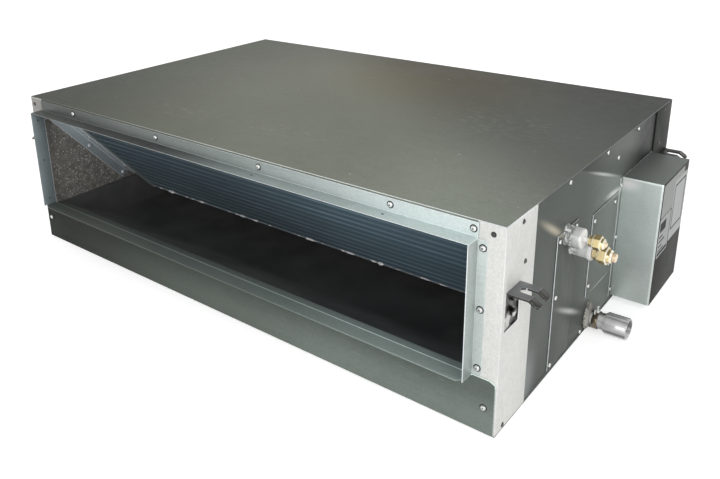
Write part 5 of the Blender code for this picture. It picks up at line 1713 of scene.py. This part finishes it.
    def build(self) -> None:
        """Make both connections."""
        for entry in Lines:
            line = entry.value
            frame = placed((0.0, line.y, line.z), Axis.RIGHT, self.turn)
            self.sleeve(line)
            self.union(line, frame)
            self.nut(line, frame)
            self.plug(line, frame)
        self.collar()
        self.shop.painted("liquid_line", PALETTE.white_tube)
        self.shop.painted("gas_line", PALETTE.copper)


@dataclass
class Drain:
    """Pan, spout, sealing putty and band clamp."""

    shop: Workshop
    y: float = -0.01328
    z: float = 0.019
    root: float = 0.4568
    neck: float = 0.0132
    neck_end: float = 0.5148
    flare_end: float = 0.5210
    mouth: float = 0.0174
    mouth_end: float = 0.5515
    wall: float = 0.0022
    putty_bore: float = 0.0136
    putty_below: float = 0.0160
    putty_above: float = 0.0245
    putty_beside: float = 0.0175
    putty_shares: tuple[Place, ...] = (
        (0.0, 1.0), (0.0015, 1.04), (0.0035, 0.98), (0.0055, 0.87), (0.0070, 0.74), (0.0080, 0.62),
    )
    band_ends: Place = (0.4997, 0.5083)
    band_radii: Place = (0.0135, 0.0144)

    def spout(self) -> None:
        """Make the spout: neck, flare and mouth with rounded lips."""
        bm = bmesh.new()
        frame = placed((0.0, self.y, self.z), Axis.RIGHT)
        neck, mouth, wall, end = self.neck, self.mouth, self.wall, self.mouth_end
        profile = [
            (self.root, neck),
            (self.neck_end, neck),
            (self.neck_end + 0.0014, neck + 0.0006),
            (self.flare_end - 0.0014, mouth - 0.0006),
            (self.flare_end, mouth),
            (end, mouth),
            (end + 0.0007, mouth - 0.0004),
            (end + 0.0009, mouth - 0.0011),
            (end + 0.0007, mouth - wall + 0.0003),
            (end, mouth - wall),
            (self.flare_end + 0.0025, mouth - wall),
            (self.neck_end + 0.0032, neck - wall),
            (self.root, neck - wall),
        ]
        turned(bm, frame, profile, 56, looped=True)
        self.shop.piece("spout_tube", bm, PALETTE.spout, "clear_spout", ["drain_spout"], sharp=40.0)

    def putty(self) -> None:
        """Make the lump of putty pressed round the neck."""
        bm = bmesh.new()
        frame = Matrix.Translation((0.0, self.y, self.z)) @ Matrix.Rotation(math.pi / 2, 4, "Y")
        bore, beside = self.putty_bore, self.putty_beside
        seat = self.shop.layout.side + 0.00025

        def lumpy(height: float, angle: float, reach: float) -> float:
            """Shape the lump, whose profile holds shares of its full reach.

            Args:
                height: How far from the casing.
                angle: Where round the neck, in radians.
                reach: The share before, or the radius of a face on the neck.

            Returns:
                The radius after.
            """
            if reach < beside * 2:
                return reach
            up, side, rise = -math.cos(angle), math.sin(angle), (height - seat) * 100
            far = self.putty_above if up > 0 else self.putty_below
            swell = far * beside / math.hypot(beside * up, far * side)
            rough = noise.noise(Vector((up * 3.4, side * 3.4, rise * 5.0))) * 0.0040
            rough += noise.noise(Vector((up * 9.0, side * 9.0, rise * 12.0))) * 0.0034
            return max(swell * reach + rough, bore + 0.0006)

        profile = [(seat + rise, share) for rise, share in self.putty_shares]
        profile += [(seat + 0.0086, 0.0148), (seat + 0.0082, bore), (seat, bore)]
        turned(bm, frame, profile, 72, looped=True, press=lumpy)
        self.shop.piece("putty_seal", bm, PALETTE.putty, "putty", ["drain_grommet"], sharp=50.0)

    def clamp(self) -> None:
        """Make the band, its housing and its tall screw with the band's pin beside it."""
        bm = bmesh.new()
        (low, high), (inner, outer) = self.band_ends, self.band_radii
        ring = [(low, inner), (low, outer), (high, outer), (high, inner)]
        turned(bm, placed((0.0, self.y, self.z), Axis.RIGHT), ring, 48, looped=True, material=2)
        top = self.z + outer
        near, far = self.y - 0.0046, self.y + 0.0046
        block(bm, (low + 0.0004, near, top - 0.0006), (high - 0.0004, far, top + 0.0030))
        bevelled(bm, 0.0003)
        middle = ((low + high) / 2, self.y, top + 0.0082)
        pan_head(bm, middle, Axis.UP, 0.0023)
        turned(bm, placed(middle, Axis.UP), [(-0.0090, 0.0015), (0.0004, 0.0015)], 16)
        pin = (middle[0] - 0.0016, self.y - 0.0075, top - 0.002)
        turned(bm, placed(pin, Axis.UP), [(0.0, 0.0013), (0.0075, 0.0013)], 12)
        finishes = (PALETTE.screw, PALETTE.recess, PALETTE.band)
        self.shop.piece("clamp_band", bm, finishes, "zinc_steel", ["drain_clamp"])

    def build(self) -> None:
        """Make the drain's pieces."""
        self.shop.softened("drain_pan", PALETTE.pan, "pan_black", 0.0012, PALETTE.pan_edge)
        self.spout()
        self.putty()
        self.clamp()


@dataclass(frozen=True)
class Sheetlet:
    """A rectangle on the control box's outer face: lowest and highest y, then lowest and highest z."""

    near: float
    far: float
    low: float
    high: float


@dataclass
class ControlBox:
    """Cover, back plate, what they hold, and blank stickers where labels would be."""

    shop: Workshop
    film: float = 0.00012
    line: float = 0.0026
    wide: Sheetlet = Sheetlet(0.0935, 0.2060, 0.1600, 0.2155)
    left: Sheetlet = Sheetlet(0.0935, 0.1500, 0.0905, 0.1585)
    right: Sheetlet = Sheetlet(0.1530, 0.2260, 0.0990, 0.2035)

    def sticker(self, name: str, area: Sheetlet, finish: Finish, rise: float, corner: float = 0.003) -> None:
        """Make a rounded blank sticker on the cover's outer face.

        Args:
            name: The sticker's name.
            area: Where it lies.
            finish: Its paper.
            rise: How far its surface stands off the cover.
            corner: The radius of its corners.
        """
        face = self.shop.layout.box
        bm = bmesh.new()
        block(bm, (face - LIFT, area.near, area.low), (face + rise, area.far, area.high))
        edges = [edge for edge in bm.edges if edge.calc_length() < rise + LIFT * 2]
        bmesh.ops.bevel(bm, geom=edges, offset=corner, segments=4, profile=0.5, affect="EDGES", material=-1)
        self.shop.piece(name, bm, finish, "galvanised_steel")

    def rules(self) -> None:
        """Make the plain bars and ruled lines of the blank stickers."""
        face = self.shop.layout.box
        bm = bmesh.new()

        def bar(area: Sheetlet, rise: float) -> None:
            """Add one bar that rises above the cover."""
            block(bm, (face, area.near, area.low), (face + rise, area.far, area.high))

        left, right, line = self.left, self.right, self.line
        rise = self.film * 2
        bar(Sheetlet(left.near + 0.004, left.near + 0.034, left.high - 0.024, left.high - 0.008), rise)
        for row in range(4):
            low, far = left.high - 0.034 - row * 0.008, left.near + 0.022 + 0.012 * (row % 2)
            bar(Sheetlet(left.near + 0.005, far, low, low + line), rise)
        bar(Sheetlet(left.near + 0.003, left.far - 0.003, left.low + 0.003, left.low + 0.008), rise)
        near, far, low, high = right.near + 0.006, right.far - 0.006, right.low + 0.018, right.high - 0.008
        for area in (
            Sheetlet(near, far, low, low + line),
            Sheetlet(near, far, high - line, high),
            Sheetlet(near, near + line, low + line, high - line),
            Sheetlet(far - line, far, low + line, high - line),
        ):
            bar(area, self.film * 3)
        self.shop.piece("sticker_rules", bm, PALETTE.ink, "galvanised_steel")

    def build(self) -> None:
        """Make the box's pieces."""
        shop, steel = self.shop, "galvanised_steel"
        plate = ((Axis.UP, PALETTE.seam),)
        # The cover's outer side and top take darker copies of its steel, painted shade.
        faces = ((Axis.RIGHT, PALETTE.box_side), (Axis.UP, PALETTE.box_top))
        shop.softened("control_box_base", PALETTE.end_panel, steel, 0.0003, PALETTE.rim, plate)
        shop.softened("control_box_cover", PALETTE.box, steel, 0.0013, PALETTE.box_edge, faces)
        shop.painted("terminal_block", PALETTE.black)
        shop.painted("control_board", PALETTE.board)
        shop.painted("fan_capacitor", PALETTE.motor)
        shop.painted("cable_grommet", PALETTE.rubber)
        self.sticker("wide_sticker", self.wide, PALETTE.grey_paper, self.film)
        self.sticker("left_sticker", self.left, PALETTE.paper, self.film * 1.5)
        self.sticker("right_sticker", self.right, PALETTE.white_paper, self.film * 2.5)
        self.rules()


@dataclass
class Blower:
    """Deck, scroll housings, wheels and motor."""

    shop: Workshop

    def build(self) -> None:
        """Finish the blower's nodes."""
        shop = self.shop
        shop.softened("fan_deck", PALETTE.bright, "bright_galvanised", 0.0003)
        for level in ("lower", "upper"):
            for hand in ("left", "right"):
                shop.painted(f"volute_{level}_{hand}", PALETTE.volute)
        for hand in ("left", "right"):
            shop.painted(f"blower_wheel_{hand}", PALETTE.wheel)
        shop.painted("motor_shell", PALETTE.motor)
        shop.painted("motor_shaft", PALETTE.shaft)
        shop.softened("motor_cradle", PALETTE.bright, "bright_galvanised", 0.0003)


@dataclass(frozen=True)
class Lamp:
    """A soft square lamp that faces the object."""

    name: str
    place: Point
    size: float
    power: float


@dataclass
class Studio:
    """Floor, world, soft lamps and the camera."""

    lens: float = 37.8615
    shift: tuple[float, float] = (0.04167, -0.13819)
    place: Point = (0.82143, -1.05417, 0.66380)
    turn: Point = (71.16037, 1.08453, 38.40562)
    target: Point = (0.0, 0.0, 0.12)
    room: float = 0.55
    floor_white: float = 0.55
    floor_half: float = 30.0
    floor_drop: float = 0.0002
    lamps: tuple[Lamp, ...] = (
        Lamp("front", (0.6, -2.9, 0.95), 1.4, 21.0),
        Lamp("side", (2.7, -1.2, 1.7), 1.6, 22.0),
        Lamp("rear", (1.3, 2.7, 1.8), 1.4, 14.0),
        Lamp("left", (-2.6, -0.8, 1.6), 1.6, 10.0),
    )

    def floor(self) -> None:
        """Make a floor that is white to the camera and in mirrors, and still takes the object's shadow."""
        bm = bmesh.new()
        bmesh.ops.create_grid(bm, x_segments=1, y_segments=1, size=self.floor_half)
        mesh = bpy.data.meshes.new("floor")
        bm.to_mesh(mesh)
        bm.free()
        graph = Graph("floor_paint")
        cloud = graph.noise(0.4, 2.0)
        graph.set("Base Color", graph.mix(cloud, (0.86, 0.86, 0.86), (0.88, 0.88, 0.88)))
        graph.set("Roughness", 0.9)
        graph.set("Emission Color", seen_white(graph.tree) * self.floor_white)
        graph.set("Emission Strength", 1.0)
        mesh.materials.append(graph.material)
        item = bpy.data.objects.new("floor", mesh)
        item.location.z = -self.floor_drop
        bpy.context.scene.collection.objects.link(item)

    def world(self) -> None:
        """Make a plain grey room, white near the horizon where it is seen directly or mirrored."""
        world = bpy.data.worlds.new("studio")
        world.use_nodes = True
        tree = world.node_tree
        tree.nodes.clear()
        way = Signal(tree, add_node(tree, "ShaderNodeTexCoord", {}, {}).outputs["Generated"])
        height = Signal(tree, add_node(tree, "ShaderNodeSeparateXYZ", {}, {"Vector": way}).outputs["Z"])
        shades = []
        for level in (self.room, 1.0):
            sockets = {"Color": (1.0, 1.0, 1.0, 1.0), "Strength": level}
            shades.append(Signal(tree, add_node(tree, "ShaderNodeBackground", {}, sockets).outputs[0]))
        share = seen_white(tree) * height.between(0.10, 0.02)
        mixed = add_node(tree, "ShaderNodeMixShader", {}, {0: share, 1: shades[0], 2: shades[1]})
        add_node(tree, "ShaderNodeOutputWorld", {}, {"Surface": Signal(tree, mixed.outputs[0])})
        bpy.context.scene.world = world

    def light(self, lamp: Lamp) -> None:
        """Add a lamp.

        Args:
            lamp: Its place, size and power.
        """
        data = bpy.data.lights.new(lamp.name, "AREA")
        data.size = lamp.size
        data.energy = lamp.power
        item = bpy.data.objects.new(lamp.name, data)
        item.location = lamp.place
        way = Vector(self.target) - Vector(lamp.place)
        item.rotation_euler = way.to_track_quat("-Z", "Y").to_euler()
        bpy.context.scene.collection.objects.link(item)

    def camera(self) -> None:
        """Place the camera at the photograph's angle."""
        data = bpy.data.cameras.new("camera")
        data.sensor_width = 36.0
        data.lens = self.lens
        data.shift_x, data.shift_y = self.shift
        item = bpy.data.objects.new("camera", data)
        item.location = self.place
        item.rotation_euler = [math.radians(angle) for angle in self.turn]
        bpy.context.scene.collection.objects.link(item)
        bpy.context.scene.camera = item

    def build(self) -> None:
        """Set the stage."""
        self.floor()
        self.world()
        for lamp in self.lamps:
            self.light(lamp)
        self.camera()
        bpy.context.scene.view_settings.view_transform = "Standard"


def main() -> None:
    """Build the looks round the part."""
    logging.basicConfig(level=logging.INFO, format="%(name)s: %(message)s")
    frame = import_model()
    shop = Workshop(frame, Layout.measured())
    kinds = (Casing, Fasteners, Hangers, Coil, Connections, Drain, ControlBox, Blower)
    for part in (*(kind(shop) for kind in kinds), Studio()):
        LOG.info("building %s", type(part).__name__)
        part.build()


if __name__ == "__main__":
    main()
